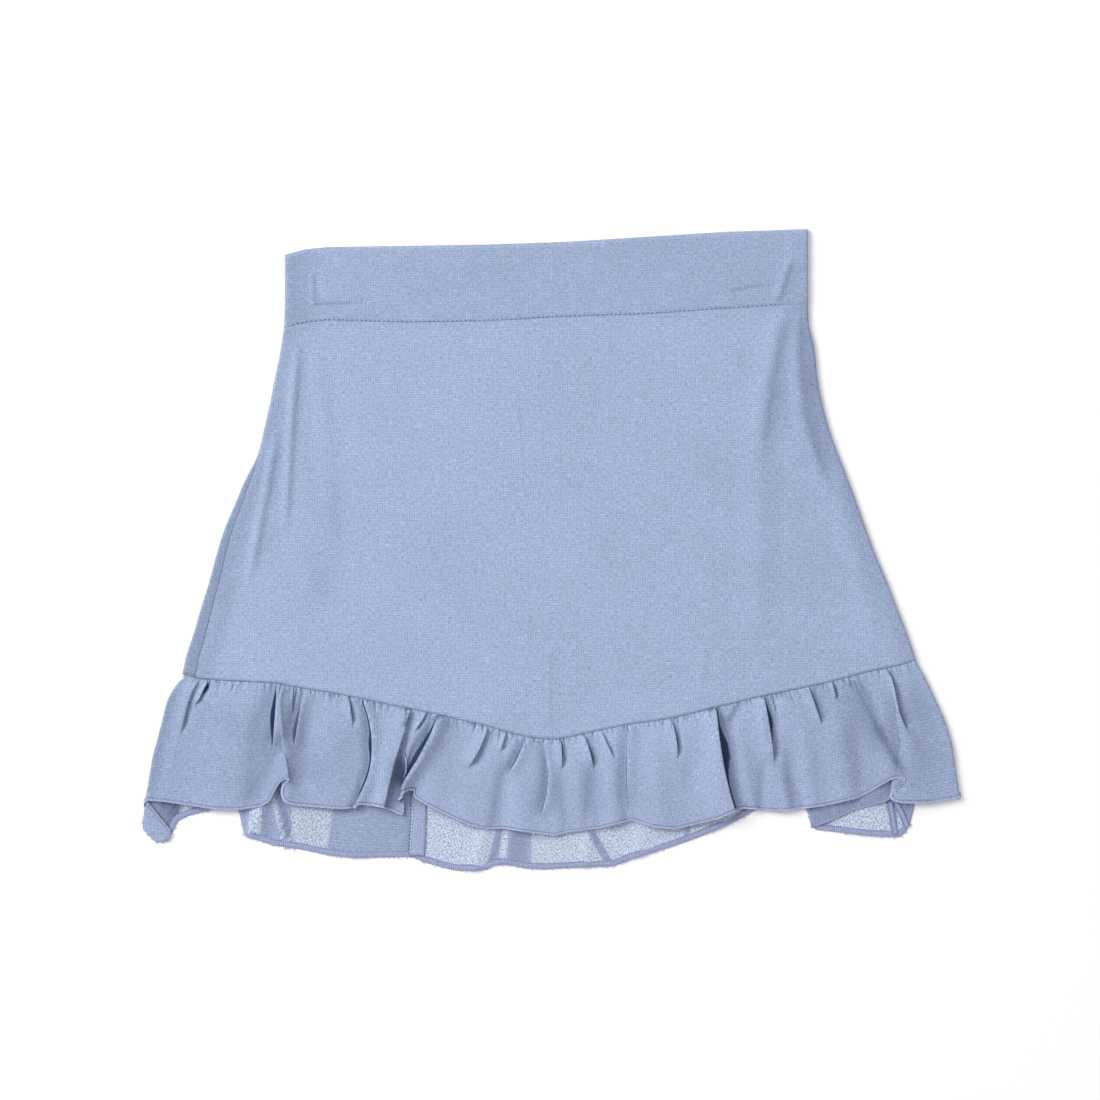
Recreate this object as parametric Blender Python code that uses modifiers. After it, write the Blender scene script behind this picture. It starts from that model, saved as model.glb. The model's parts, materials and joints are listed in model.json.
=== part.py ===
"""Linen mini skirt laid flat on a surface, front up, seen from above.

X runs to the wearer's left (right in the view), Y runs up to the waist and Z
runs up from the surface. Two A-shaped panels hang from a waistband and carry
one gathered ruffle. Each cloth is a surface worked out from the tables below,
given its wall on both sides. Tables are in millimetres.
"""

import bpy
import numpy as np

MM = 0.001
CENTRE_X = 0.65
CENTRE_Y = 0.3

# Cloth and how the layers lie on each other.
WALL = 1.2
SEAM_GAP = 0.3
SIDE_SEAM_GAP = 0.5
RUFFLE_SEAM_GAP = 0.75
FOLD_RADIUS = 1.5
FOLD_EASE = 22.0

# Outline of the panels: a row for each section, with its two edges.
SECTION_COLUMNS = ("y", "left", "right")
SECTIONS = (
    (163.0, -175.5, 169.5),
    (146.0, -176.0, 170.0),
    (128.0, -179.0, 173.5),
    (112.0, -182.5, 175.5),
    (96.0, -185.5, 178.9),
    (79.0, -189.5, 183.5),
    (62.7, -194.0, 189.4),
    (46.2, -202.0, 196.0),
    (29.7, -208.6, 202.0),
    (13.2, -215.8, 207.9),
    (-3.3, -221.4, 213.9),
    (-19.8, -225.7, 221.1),
    (-36.3, -230.3, 227.0),
    (-52.8, -234.5, 233.6),
    (-69.3, -240.2, 239.6),
    (-86.0, -243.6, 243.6),
)

# Top edge of the waistband and the seam below it.
BAND_COLUMNS = ("x", "top", "seam")
BAND_LINE = (
    (-175.0, 194.6, 146.8),
    (-162.0, 198.2, 150.0),
    (-148.0, 200.0, 151.6),
    (-94.0, 200.7, 150.1),
    (-41.0, 201.4, 151.1),
    (11.0, 203.4, 154.0),
    (64.0, 206.7, 155.7),
    (117.0, 210.0, 159.4),
    (170.0, 211.4, 162.8),
)

# Seam between the front panel and the ruffle, dipping in the middle.
FRONT_SEAM_COLUMNS = ("x", "y")
FRONT_SEAM = (
    (-242.2, -81.8),
    (-231.7, -85.0),
    (-198.7, -86.8),
    (-180.2, -87.8),
    (-165.7, -90.8),
    (-139.3, -95.0),
    (-123.4, -98.3),
    (-94.4, -104.3),
    (-73.3, -108.9),
    (-46.9, -114.8),
    (-23.8, -121.4),
    (-7.3, -124.7),
    (5.9, -124.7),
    (27.1, -120.1),
    (50.2, -115.2),
    (79.9, -110.9),
    (104.9, -104.9),
    (131.3, -98.3),
    (157.7, -92.7),
    (179.5, -88.1),
    (210.5, -79.9),
    (230.3, -75.9),
    (240.9, -72.3),
)
BACK_SEAM_DROP = 15.0
BACK_SEAM_RUN = 130.0
TURN_CLEAR = 20.0

# Visible width of the back panel turned over the left fold: a row for each height.
TURN_COLUMNS = ("y", "width")
TURN = (
    (160.0, 0.3),
    (66.0, 0.3),
    (50.0, 3.0),
    (22.0, 5.5),
    (-66.0, 8.6),
    (-86.0, 9.0),
)
RIGHT_TURN_WIDTH = 16.0

# Soft folds of the front panel: a ridge on each row, from its top to its foot.
PANEL_FOLD_COLUMNS = ("x_top", "y_top", "x_foot", "y_foot", "width", "height")
PANEL_FOLDS = (
    (-171.0, 136.0, -179.0, 52.0, 3.6, 2.2),
    (-164.0, 141.0, -161.0, 18.0, 4.0, 2.4),
    (-146.0, 120.0, -130.0, -8.0, 11.0, 1.3),
    (-185.0, 78.0, -192.0, -12.0, 4.5, 1.8),
    (-22.0, 96.0, -16.0, 44.0, 14.0, 0.7),
    (153.0, 150.0, 158.0, 62.0, 5.5, 2.6),
    (136.0, 128.0, 118.0, -40.0, 11.0, 1.6),
    (170.0, 96.0, 176.0, -10.0, 6.0, 2.0),
    (149.0, 40.0, 146.0, -62.0, 12.0, 1.2),
)

# Front of the ruffle: a row for each line running from the seam to the hem.
FRONT_LINE_COLUMNS = ("seam_x", "hem_x", "hem_y")
FRONT_LINES = (
    (-242.2, -267.0, -165.4),
    (-234.3, -254.8, -166.0),
    (-221.8, -238.3, -168.3),
    (-208.6, -221.8, -170.9),
    (-195.4, -205.3, -171.3),
    (-186.8, -192.1, -169.3),
    (-182.0, -184.5, -163.5),
    (-178.9, -179.0, -152.0),
    (-174.2, -175.6, -161.7),
    (-168.6, -172.6, -167.0),
    (-153.8, -157.7, -169.3),
    (-124.7, -128.0, -169.6),
    (-105.6, -110.2, -171.0),
    (-93.7, -99.7, -174.6),
    (-87.5, -95.7, -166.0),
    (-79.2, -92.7, -158.4),
    (-71.3, -88.8, -163.0),
    (-56.8, -66.7, -175.9),
    (-38.9, -42.2, -184.1),
    (-20.5, -19.1, -185.5),
    (-0.7, 2.6, -188.4),
    (19.1, 21.1, -185.5),
    (40.3, 43.6, -180.5),
    (50.2, 53.5, -178.2),
    (62.0, 68.6, -182.8),
    (75.2, 81.8, -184.1),
    (98.3, 110.2, -177.2),
    (112.9, 125.4, -170.3),
    (139.9, 151.1, -172.3),
    (169.6, 178.9, -169.0),
    (194.0, 205.3, -162.4),
    (205.3, 214.5, -156.4),
    (214.5, 224.5, -150.5),
    (220.6, 229.0, -156.0),
    (224.5, 231.0, -164.5),
    (231.0, 240.2, -167.6),
    (236.5, 257.0, -166.0),
    (240.9, 270.9, -163.3),
)

# Back of the ruffle, which dips below the front, from the right fold to the left.
BACK_LINE_COLUMNS = ("seam_x", "hem_x", "hem_y")
BACK_LINES = (
    (240.9, 270.9, -163.3),
    (233.0, 250.1, -160.0),
    (229.0, 241.0, -165.0),
    (224.6, 236.8, -177.0),
    (218.4, 231.6, -188.0),
    (207.9, 210.5, -188.1),
    (188.1, 172.8, -184.1),
    (183.6, 168.6, -171.0),
    (164.3, 149.8, -166.0),
    (143.2, 133.3, -172.3),
    (116.8, 112.9, -182.8),
    (85.1, 78.5, -196.0),
    (48.8, 40.3, -208.6),
    (27.1, 19.1, -209.2),
    (5.9, -4.0, -210.4),
    (-18.9, -31.0, -206.8),
    (-37.6, -50.2, -211.2),
    (-58.7, -73.3, -208.6),
    (-78.0, -93.0, -202.0),
    (-111.5, -131.3, -202.6),
    (-140.0, -163.0, -199.0),
    (-168.3, -193.4, -190.7),
    (-176.2, -201.3, -186.4),
    (-180.0, -204.4, -172.9),
    (-186.0, -211.0, -166.3),
    (-201.3, -227.7, -171.8),
    (-217.1, -246.2, -178.2),
    (-222.6, -251.5, -189.0),
    (-229.0, -259.5, -192.4),
    (-237.0, -270.4, -184.5),
    (-240.6, -272.4, -178.2),
    (-242.2, -271.2, -169.0),
)
RING_JOIN_SEAM_X = -78.2

# How far the two folded ends of the ruffle stand out from a straight line.
BOW_COLUMNS = ("depth_share", "left", "right")
BOW = (
    (0.0, 0.0, 0.0),
    (0.2, -5.0, 3.2),
    (0.45, -4.0, 6.0),
    (0.62, -4.0, 5.6),
    (0.85, -1.5, 1.8),
    (1.0, 0.0, 0.0),
)
BOW_REACH = 17.0
INSET_REACH = 9.0

# Creases of the ruffle front: place along the seam at the top and at the foot,
# the share of the depth where each ends, half its width and how deep it cuts.
CREASE_COLUMNS = ("top_x", "foot_x", "foot_share", "width", "depth")
CREASES = (
    (-234.0, -230.0, 0.45, 2.2, 1.6),
    (-229.0, -229.5, 0.20, 2.0, 2.4),
    (-180.2, -179.2, 1.00, 2.6, 7.0),
    (-165.5, -166.5, 0.80, 3.4, 5.0),
    (-123.4, -120.5, 0.95, 2.4, 4.6),
    (-93.7, -93.0, 1.00, 3.4, 6.5),
    (-78.0, -80.5, 1.00, 4.6, 8.5),
    (-42.2, -46.0, 0.45, 2.6, 3.2),
    (-29.7, -33.5, 0.35, 2.4, 3.0),
    (-16.5, -21.0, 0.50, 2.6, 4.4),
    (-5.3, -9.0, 1.00, 3.4, 4.2),
    (6.0, 5.0, 0.30, 2.2, 3.0),
    (21.5, 24.5, 1.00, 4.6, 4.0),
    (51.5, 50.5, 1.00, 3.2, 4.4),
    (79.2, 77.5, 0.45, 2.2, 3.2),
    (108.2, 107.5, 1.00, 3.8, 7.5),
    (140.0, 138.5, 0.60, 3.0, 6.0),
    (154.0, 150.5, 0.90, 3.0, 2.4),
    (169.6, 171.5, 0.35, 2.8, 4.0),
    (184.8, 185.5, 0.20, 2.2, 2.4),
    (200.5, 206.5, 0.95, 5.0, 6.0),
    (223.1, 228.0, 0.55, 2.6, 5.6),
    (236.0, 237.0, 0.60, 2.2, 2.0),
)

# Swells between the creases: place along the seam, half width, height and the
# share of the depth where each is highest.
SWELL_COLUMNS = ("middle_x", "width", "height", "top_share")
SWELLS = (
    (-207.0, 18.0, 2.0, 0.60),
    (-174.0, 5.0, 4.5, 0.45),
    (-145.0, 13.0, 2.4, 0.55),
    (-108.0, 9.0, 2.4, 0.70),
    (-71.0, 6.5, 6.5, 0.55),
    (-54.0, 9.0, 2.0, 0.80),
    (-25.0, 7.0, 2.0, 0.80),
    (8.0, 8.0, 2.6, 0.75),
    (38.0, 8.0, 2.6, 0.75),
    (66.0, 10.0, 2.6, 0.65),
    (94.0, 8.0, 3.2, 0.60),
    (118.0, 6.0, 3.4, 0.60),
    (146.0, 5.0, 2.6, 0.55),
    (164.0, 5.0, 2.2, 0.70),
    (190.0, 7.0, 3.2, 0.70),
    (215.0, 6.5, 4.5, 0.45),
    (232.0, 4.5, 2.2, 0.50),
)

RUFFLE_PUFF = 3.4
RUFFLE_LIFT = 1.4
GATHER_PITCH = 7.3
GATHER_HEIGHT = 2.0
GATHER_REACH = 0.34
GATHER_UNEVEN = 0.30
BACK_WAVE_PITCH = 24.0
BACK_WAVE_HEIGHT = 1.0
UNEVEN_SEED = 7

# How finely each cloth is divided.
GATHER_STEPS = 4
DEPTH_SHARES = (0.0, 0.06, 0.16, 0.32, 0.52, 0.76, 1.0)
BACK_STEP = 4.6
PANEL_ROWS = 15
PANEL_COLUMNS_FRONT = 46
PANEL_COLUMNS_BACK = 12
BAND_ROWS = 4
ARC_STEPS = 6
EDGE_PASSES = 12

# Colour, roughness and metallic of each cloth.
LINEN_FRONT = (0.380, 0.456, 0.640, 1.0)
LINEN_BACK = (0.340, 0.418, 0.600, 1.0)
LINEN_RUFFLE = (0.350, 0.430, 0.610, 1.0)
LINEN_ROUGHNESS = 0.85
LINEN_METALLIC = 0.0


def column(table, names, name):
    """One named column of a table."""
    return np.array(table)[:, names.index(name)]


def table_at(value, table, names, key, name):
    """A column read between the rows at the value of the key column."""
    keys = column(table, names, key)
    order = np.argsort(keys)
    return np.interp(value, keys[order], column(table, names, name)[order])


def left_edge(y):
    return table_at(y, SECTIONS, SECTION_COLUMNS, "y", "left")


def right_edge(y):
    return table_at(y, SECTIONS, SECTION_COLUMNS, "y", "right")


def band_top(x):
    return table_at(x, BAND_LINE, BAND_COLUMNS, "x", "top")


def band_seam(x):
    return table_at(x, BAND_LINE, BAND_COLUMNS, "x", "seam")


def front_seam(x):
    return table_at(x, FRONT_SEAM, FRONT_SEAM_COLUMNS, "x", "y")


def back_seam(x):
    """The hidden seam of the back, lower than the front one in the middle."""
    from_left = (x - FRONT_SEAM[0][0] - TURN_CLEAR) / BACK_SEAM_RUN
    from_right = (FRONT_SEAM[-1][0] - x - TURN_CLEAR) / BACK_SEAM_RUN
    return front_seam(x) - BACK_SEAM_DROP * ease(from_left) * ease(from_right)


def ease(value):
    """A smooth step from 0 to 1 over values from 0 to 1."""
    clipped = np.clip(value, 0.0, 1.0)
    return clipped * clipped * (3.0 - 2.0 * clipped)


def ring_point(arc, left, right, wall, radius):
    """Place on the flattened tube at an arc length from the left fold.

    Positive arc lengths run over the front to the right fold and on to the
    back. Negative ones run under the left fold. The front lies one wall and
    one gap above the back, and rises to the fold near each side.
    """
    inner_left = left + wall / 2 + radius
    inner_right = right - wall / 2 - radius
    quarter = np.pi * radius / 2
    across = inner_right - inner_left
    low = wall / 2
    rest = low + wall + SEAM_GAP
    crest = low + 2 * radius
    front_run = np.clip(arc - quarter, 0.0, across)
    edge_run = np.minimum(front_run, across - front_run)
    front_z = rest + (crest - rest) * (1.0 - ease(edge_run / FOLD_EASE))
    x = inner_left + front_run
    z = front_z
    turn = np.clip((arc + quarter) / radius, 0.0, np.pi)
    on_left = arc < quarter
    x = np.where(on_left, inner_left - radius * np.sin(turn), x)
    z = np.where(on_left, low + radius * (1.0 - np.cos(turn)), z)
    under_left = arc < -quarter
    x = np.where(under_left, inner_left - (arc + quarter), x)
    z = np.where(under_left, low, z)
    past = arc - quarter - across
    turn = np.clip(past / radius, 0.0, np.pi)
    on_right = past > 0
    x = np.where(on_right, inner_right + radius * np.sin(turn), x)
    z = np.where(on_right, low + radius * (1.0 + np.cos(turn)), z)
    under_right = past > np.pi * radius
    x = np.where(under_right, inner_right - (past - np.pi * radius), x)
    z = np.where(under_right, low, z)
    return x, z


def panel_rise(x, y):
    """Height of the front panel's soft folds above where it rests."""
    rise = np.zeros(np.broadcast(x, y).shape)
    for x_top, y_top, x_foot, y_foot, width, height in PANEL_FOLDS:
        along = np.clip((y_top - y) / (y_top - y_foot), -0.4, 1.4)
        middle = x_top + along * (x_foot - x_top)
        fade = ease((along + 0.3) / 0.45) * ease((1.3 - along) / 0.45)
        rise += height * fade * np.exp(-(((x - middle) / width) ** 2))
    return rise


def grid_cloth(name, points, wall, colour, joined_collection):
    """A cloth from a grid of middle points, with its wall put on both sides."""
    rows, columns = points.shape[:2]
    index = np.arange(rows * columns).reshape(rows, columns)
    corners = (index[:-1, :-1], index[1:, :-1], index[1:, 1:], index[:-1, 1:])
    faces = np.stack(corners, axis=-1).reshape(-1, 4)
    mesh = bpy.data.meshes.new(name)
    placed = (points.reshape(-1, 3) - (CENTRE_X, CENTRE_Y, 0.0)) * MM
    mesh.from_pydata(placed.tolist(), [], faces.tolist())
    mesh.update()
    smooth = np.ones(len(mesh.polygons), dtype=bool)
    mesh.polygons.foreach_set("use_smooth", smooth)
    item = bpy.data.objects.new(name, mesh)
    joined_collection.objects.link(item)
    solid = item.modifiers.new("wall", "SOLIDIFY")
    solid.thickness = wall * MM
    solid.offset = 0.0
    solid.use_even_offset = False
    material = bpy.data.materials.new(name + "_linen")
    material.use_nodes = True
    shader = material.node_tree.nodes["Principled BSDF"]
    shader.inputs["Base Color"].default_value = colour
    shader.inputs["Roughness"].default_value = LINEN_ROUGHNESS
    shader.inputs["Metallic"].default_value = LINEN_METALLIC
    mesh.materials.append(material)
    return item


def front_columns(turn_width, left, right, wall, radius, count):
    """Arc lengths of a front piece from the left seam round the right fold."""
    quarter = np.pi * radius / 2
    across = right - left - wall - 2 * radius
    start = turn_width + SIDE_SEAM_GAP / 2
    near = start + np.linspace(0.0, 2 * quarter, 5)
    flat = np.linspace(near[-1], quarter + across, count)[1:]
    fold = quarter + across + np.linspace(0.0, np.pi * radius, ARC_STEPS + 1)[1:]
    under = fold[-1] + RIGHT_TURN_WIDTH
    return np.concatenate([near, flat, fold, [under]])


def back_columns(turn_width, left, right, wall, radius, count):
    """Arc lengths of a back piece from the left seam under to the right one."""
    quarter = np.pi * radius / 2
    across = right - left - wall - 2 * radius
    stop = turn_width - SIDE_SEAM_GAP / 2
    near = np.linspace(stop, -quarter, 2 * ARC_STEPS)
    under_end = -quarter - across + RIGHT_TURN_WIDTH + SEAM_GAP
    under = np.linspace(near[-1], under_end, count)[1:]
    return np.concatenate([near, under])


def row_edges(share, top_line, foot_line):
    """Outer left and right edge of a row across the tube, and its left height."""
    left_y = top_line(-170.0) + share * (foot_line(-230.0) - top_line(-170.0))
    right_y = top_line(170.0) + share * (foot_line(230.0) - top_line(170.0))
    for _ in range(EDGE_PASSES):
        left = left_edge(left_y)
        right = right_edge(right_y)
        left_y = top_line(left) + share * (foot_line(left) - top_line(left))
        right_y = top_line(right) + share * (foot_line(right) - top_line(right))
    return left, right, left_y


def ring_rows(columns_of, top_line, foot_line, edge_foot_line, rows, count):
    """Grid of a piece of the flattened tube between two lines across it."""
    grid = []
    for share in np.linspace(0.0, 1.0, rows):
        left, right, left_y = row_edges(share, top_line, edge_foot_line)
        turn_width = table_at(left_y, TURN, TURN_COLUMNS, "y", "width")
        arcs = columns_of(turn_width, left, right, WALL, FOLD_RADIUS, count)
        x, z = ring_point(arcs, left, right, WALL, FOLD_RADIUS)
        y = top_line(x) + share * (foot_line(x) - top_line(x))
        grid.append(np.stack([x, y, z], axis=1))
    return np.array(grid)


def with_soft_folds(grid):
    """The front panel with its ridges raised, level at both seams and folds."""
    x, y, z = grid[..., 0], grid[..., 1], grid[..., 2]
    share = np.linspace(0.0, 1.0, len(grid))[:, None]
    from_edge = np.minimum(x - x.min(axis=1, keepdims=True), x.max(axis=1, keepdims=True) - x)
    fade = ease(share / 0.10) * ease((1.0 - share) / 0.12) * ease(from_edge / 9.0)
    on_top = z > WALL / 2 + WALL + SEAM_GAP - 0.01
    grid[..., 2] = z + np.where(on_top, panel_rise(x, y) * fade, 0.0)
    return grid


def edge_line(rows, upper, shift):
    """Line along the ends of several cloths, on the upper or the lower layer."""
    points = np.concatenate(rows)
    is_upper = points[:, 2] > WALL / 2 + FOLD_RADIUS - 0.01
    points = points[is_upper == upper]
    points = points[np.argsort(points[:, 0])]

    def line(x):
        return np.interp(x, points[:, 0], points[:, 1]) + shift

    return line


def gather_phase(count):
    """Uneven places of the small gathers, as a running count of them."""
    uneven = np.random.default_rng(UNEVEN_SEED)
    shift = uneven.uniform(-GATHER_UNEVEN, GATHER_UNEVEN, count + 1)
    shift[0] = 0.0
    shift[-1] = 0.0
    return np.arange(count + 1) + shift


def ruffle_front_height(seam_x, depth):
    """Height of the ruffle front above where it rests, at a share of its depth."""
    puff = RUFFLE_PUFF * np.sin(np.pi * np.clip(depth, 0.0, 1.0) ** 0.7 * 0.86) ** 0.8
    height = puff + np.zeros(np.broadcast(seam_x, depth).shape)
    for middle, width, tall, top_share in SWELLS:
        past_top = (depth - top_share) / (1.01 - top_share)
        fade = ease(depth / top_share) * (1.0 - 0.35 * ease(past_top))
        height += tall * fade * np.exp(-(((seam_x - middle) / width) ** 2))
    for top_x, foot_x, foot_share, width, deep in CREASES:
        middle = top_x + np.minimum(depth / foot_share, 1.0) * (foot_x - top_x)
        fade = ease(depth / 0.06) * ease((foot_share + 0.16 - depth) / 0.20)
        spread = width * (0.75 + 0.5 * depth)
        height -= deep * fade * np.exp(-(((seam_x - middle) / spread) ** 2))
    count = int(round((FRONT_SEAM[-1][0] - FRONT_SEAM[0][0]) / GATHER_PITCH))
    phase = gather_phase(count)
    places = np.interp(
        seam_x, np.linspace(FRONT_SEAM[0][0], FRONT_SEAM[-1][0], count + 1), phase
    )
    wave = 0.5 - 0.5 * np.cos(2 * np.pi * places)
    reach = ease(depth / 0.05) * (1.0 - ease((depth - 0.05) / GATHER_REACH))
    return np.maximum(height, 0.0) + GATHER_HEIGHT * wave * reach


def bow(depth, x, left_end, right_end):
    """Sideways shift of the ruffle's two folded ends."""
    left = table_at(depth, BOW, BOW_COLUMNS, "depth_share", "left")
    right = table_at(depth, BOW, BOW_COLUMNS, "depth_share", "right")
    near_left = np.exp(-(x - left_end) / BOW_REACH)
    near_right = np.exp(-(right_end - x) / BOW_REACH)
    return left * near_left + right * near_right


def ruffle_sheet(seam_x, seam_line, lines, names, depth):
    """Plan of the ruffle between its seam and its hem, drawn in at the folds."""
    first = FRONT_SEAM[0][0]
    last = FRONT_SEAM[-1][0]
    hem_x = table_at(seam_x, lines, names, "seam_x", "hem_x")
    hem_y = table_at(seam_x, lines, names, "seam_x", "hem_y")
    inset = WALL / 2 + FOLD_RADIUS
    shift = inset * np.exp((first - seam_x) / INSET_REACH)
    shift = shift - inset * np.exp((seam_x - last) / INSET_REACH)
    x = seam_x + shift + depth * (hem_x - seam_x) + bow(depth, seam_x, first, last)
    seam_y = seam_line(seam_x + shift)
    y = seam_y + depth * (hem_y - seam_y)
    return x, y


def ruffle_back(seam_from, seam_to, seam_line, depth):
    """A stretch of the ruffle's back, flat on the surface but for low waves."""
    steps = int(abs(seam_to - seam_from) / BACK_STEP) + 1
    seam_x = np.linspace(seam_from, seam_to, steps)
    x, y = ruffle_sheet(seam_x, seam_line, BACK_LINES, BACK_LINE_COLUMNS, depth)
    last = FRONT_SEAM[-1][0]
    wave = 0.5 - 0.5 * np.cos(2 * np.pi * (seam_x - last) / BACK_WAVE_PITCH)
    level = ease(np.minimum(seam_x - FRONT_SEAM[0][0], last - seam_x) / 14.0)
    z = WALL / 2 + BACK_WAVE_HEIGHT * wave * level * ease(depth / 0.8)
    return x, y, z


def ruffle_front(seam_line, depth):
    """The ruffle's front, with its gathers, creases and swells."""
    first = FRONT_SEAM[0][0]
    last = FRONT_SEAM[-1][0]
    count = int(round((last - first) / GATHER_PITCH))
    seam_x = np.linspace(first, last, count * GATHER_STEPS + 1)
    x, y = ruffle_sheet(seam_x, seam_line, FRONT_LINES, FRONT_LINE_COLUMNS, depth)
    rest = WALL / 2 + WALL + SEAM_GAP + RUFFLE_LIFT * ease(depth / 0.5)
    crest = WALL / 2 + 2 * FOLD_RADIUS
    from_fold = np.minimum(seam_x - first, last - seam_x)
    near = 1.0 - ease(from_fold / FOLD_EASE)
    z = np.maximum(rest, rest + (crest - rest) * near)
    z = z + ruffle_front_height(seam_x, depth) * ease((from_fold - 1.0) / 8.0)
    return x, y, z


def ruffle_fold(start, end, side):
    """Half round of cloth that joins the end column of one stretch to the next."""
    turn = np.linspace(0.0, np.pi, ARC_STEPS + 1)[None, 1:-1]
    x = start[0] + turn / np.pi * (end[0] - start[0]) + side * FOLD_RADIUS * np.sin(turn)
    y = start[1] + turn / np.pi * (end[1] - start[1])
    z = start[2] + (0.5 - 0.5 * np.cos(turn)) * (end[2] - start[2])
    return x, y, z


def ruffle_points(front_line, back_line):
    """Grid of the whole ruffle, from its join round both folds and back."""
    depth = np.array(DEPTH_SHARES)[:, None]
    half_gap = SEAM_GAP / 2
    first = FRONT_SEAM[0][0]
    last = FRONT_SEAM[-1][0]
    left_back = ruffle_back(RING_JOIN_SEAM_X - half_gap, first, back_line, depth)
    front = ruffle_front(front_line, depth)
    right_back = ruffle_back(last, RING_JOIN_SEAM_X + half_gap, back_line, depth)

    def column_at(stretch, place):
        return tuple(values[:, place, None] for values in stretch)

    left_fold = ruffle_fold(column_at(left_back, -1), column_at(front, 0), -1.0)
    right_fold = ruffle_fold(column_at(front, -1), column_at(right_back, 0), 1.0)
    stretches = (left_back, left_fold, front, right_fold, right_back)
    return np.stack(
        [np.concatenate([stretch[axis] for stretch in stretches], axis=1) for axis in range(3)],
        axis=2,
    )


for old in list(bpy.data.objects):
    bpy.data.objects.remove(old, do_unlink=True)
for old in list(bpy.data.collections):
    bpy.data.collections.remove(old)
skirt = bpy.data.collections.new("linen_mini_skirt")
bpy.context.scene.collection.children.link(skirt)


def below_band(x):
    return band_seam(x) - SEAM_GAP


front_panel = ring_rows(
    front_columns, below_band, front_seam, front_seam, PANEL_ROWS, PANEL_COLUMNS_FRONT
)
back_panel = ring_rows(
    back_columns, below_band, back_seam, front_seam, PANEL_ROWS, PANEL_COLUMNS_BACK
)
tops = (front_panel[0], back_panel[0])
feet = (front_panel[-1], back_panel[-1])
over_front = edge_line(tops, True, SEAM_GAP)
over_back = edge_line(tops, False, SEAM_GAP)
under_front = edge_line(feet, True, -RUFFLE_SEAM_GAP)
under_back = edge_line(feet, False, -RUFFLE_SEAM_GAP)
band_front = ring_rows(
    front_columns, band_top, over_front, over_front, BAND_ROWS, PANEL_COLUMNS_FRONT
)
band_back = ring_rows(
    back_columns, band_top, over_back, over_front, BAND_ROWS, PANEL_COLUMNS_BACK
)
grid_cloth("waistband_front", band_front, WALL, LINEN_FRONT, skirt)
grid_cloth("waistband_back", band_back, WALL, LINEN_BACK, skirt)
grid_cloth("front_panel", with_soft_folds(front_panel), WALL, LINEN_FRONT, skirt)
grid_cloth("back_panel", back_panel, WALL, LINEN_BACK, skirt)
grid_cloth("ruffle", ruffle_points(under_front, under_back), WALL, LINEN_RUFFLE, skirt)
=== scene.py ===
"""Looks of the linen mini skirt, laid flat, front up.

Sizes are in millimetres up to the point where a mesh is made.
"""

import json

import bpy
import numpy as np
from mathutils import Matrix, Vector

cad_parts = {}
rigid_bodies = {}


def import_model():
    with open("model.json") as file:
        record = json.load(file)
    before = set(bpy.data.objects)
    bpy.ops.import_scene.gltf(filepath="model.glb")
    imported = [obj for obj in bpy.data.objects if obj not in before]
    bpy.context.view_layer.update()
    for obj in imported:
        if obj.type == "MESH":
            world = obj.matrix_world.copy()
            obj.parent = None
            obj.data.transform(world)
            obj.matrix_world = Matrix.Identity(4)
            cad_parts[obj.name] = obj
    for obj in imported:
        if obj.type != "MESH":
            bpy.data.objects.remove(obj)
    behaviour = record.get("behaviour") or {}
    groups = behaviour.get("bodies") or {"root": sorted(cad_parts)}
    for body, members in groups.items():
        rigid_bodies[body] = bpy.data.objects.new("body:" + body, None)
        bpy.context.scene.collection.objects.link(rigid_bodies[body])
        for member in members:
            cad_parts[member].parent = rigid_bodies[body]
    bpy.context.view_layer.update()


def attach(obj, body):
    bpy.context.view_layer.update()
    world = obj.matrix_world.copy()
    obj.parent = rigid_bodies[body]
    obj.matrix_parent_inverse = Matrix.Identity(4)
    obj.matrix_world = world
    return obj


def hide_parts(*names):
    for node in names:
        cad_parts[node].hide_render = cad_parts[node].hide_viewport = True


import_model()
for old in list(bpy.data.objects):
    if old.name in ("Cube", "Light", "Camera"):
        bpy.data.objects.remove(old, do_unlink=True)


# --- The table it lies on, the light and the camera ---
# A white, matt table top seen from straight above. A large soft light stands
# to the upper left and a paler one opposite, so folds shade gently.
TABLE_SIZE = 6.0
TABLE_WHITE = (0.95, 0.952, 0.955, 1.0)
SKY_STRENGTH = 0.62
# Each light: its name, power, place and size.
LIGHTS = (
    ("key_light", 92.0, (-2.2, 1.3, 1.85), 1.9),
    ("fill_light", 3.0, (1.2, -0.6, 1.5), 1.2),
)
CAMERA_PLACE = (-0.0013, -0.0003, 2.6)
PICTURE_WIDTH = 0.726
SENSOR = 36.0
CLIP_END = 50.0
UV_NAME = "cloth_metres"


def feed(node, inputs):
    """Gives a shader node's inputs their values, each a plain one or a link."""
    for key, value in inputs.items():
        if isinstance(value, bpy.types.NodeSocket):
            node.id_data.links.new(value, node.inputs[key])
        else:
            node.inputs[key].default_value = value


def new_material(name, inputs):
    """A material, its shader with these inputs, and a function to add nodes."""
    material = bpy.data.materials.new(name)
    material.use_nodes = True
    shader = material.node_tree.nodes["Principled BSDF"]
    feed(shader, inputs)

    def add(kind, inputs, **options):
        """Outputs of a new node of a kind, with its options set and inputs fed."""
        node = material.node_tree.nodes.new("ShaderNode" + kind)
        for option, value in options.items():
            setattr(node, option, value)
        feed(node, inputs)
        return node.outputs

    return material, shader, add


def add_object(name, data):
    made = bpy.data.objects.new(name, data)
    bpy.context.scene.collection.objects.link(made)
    return made


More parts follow.
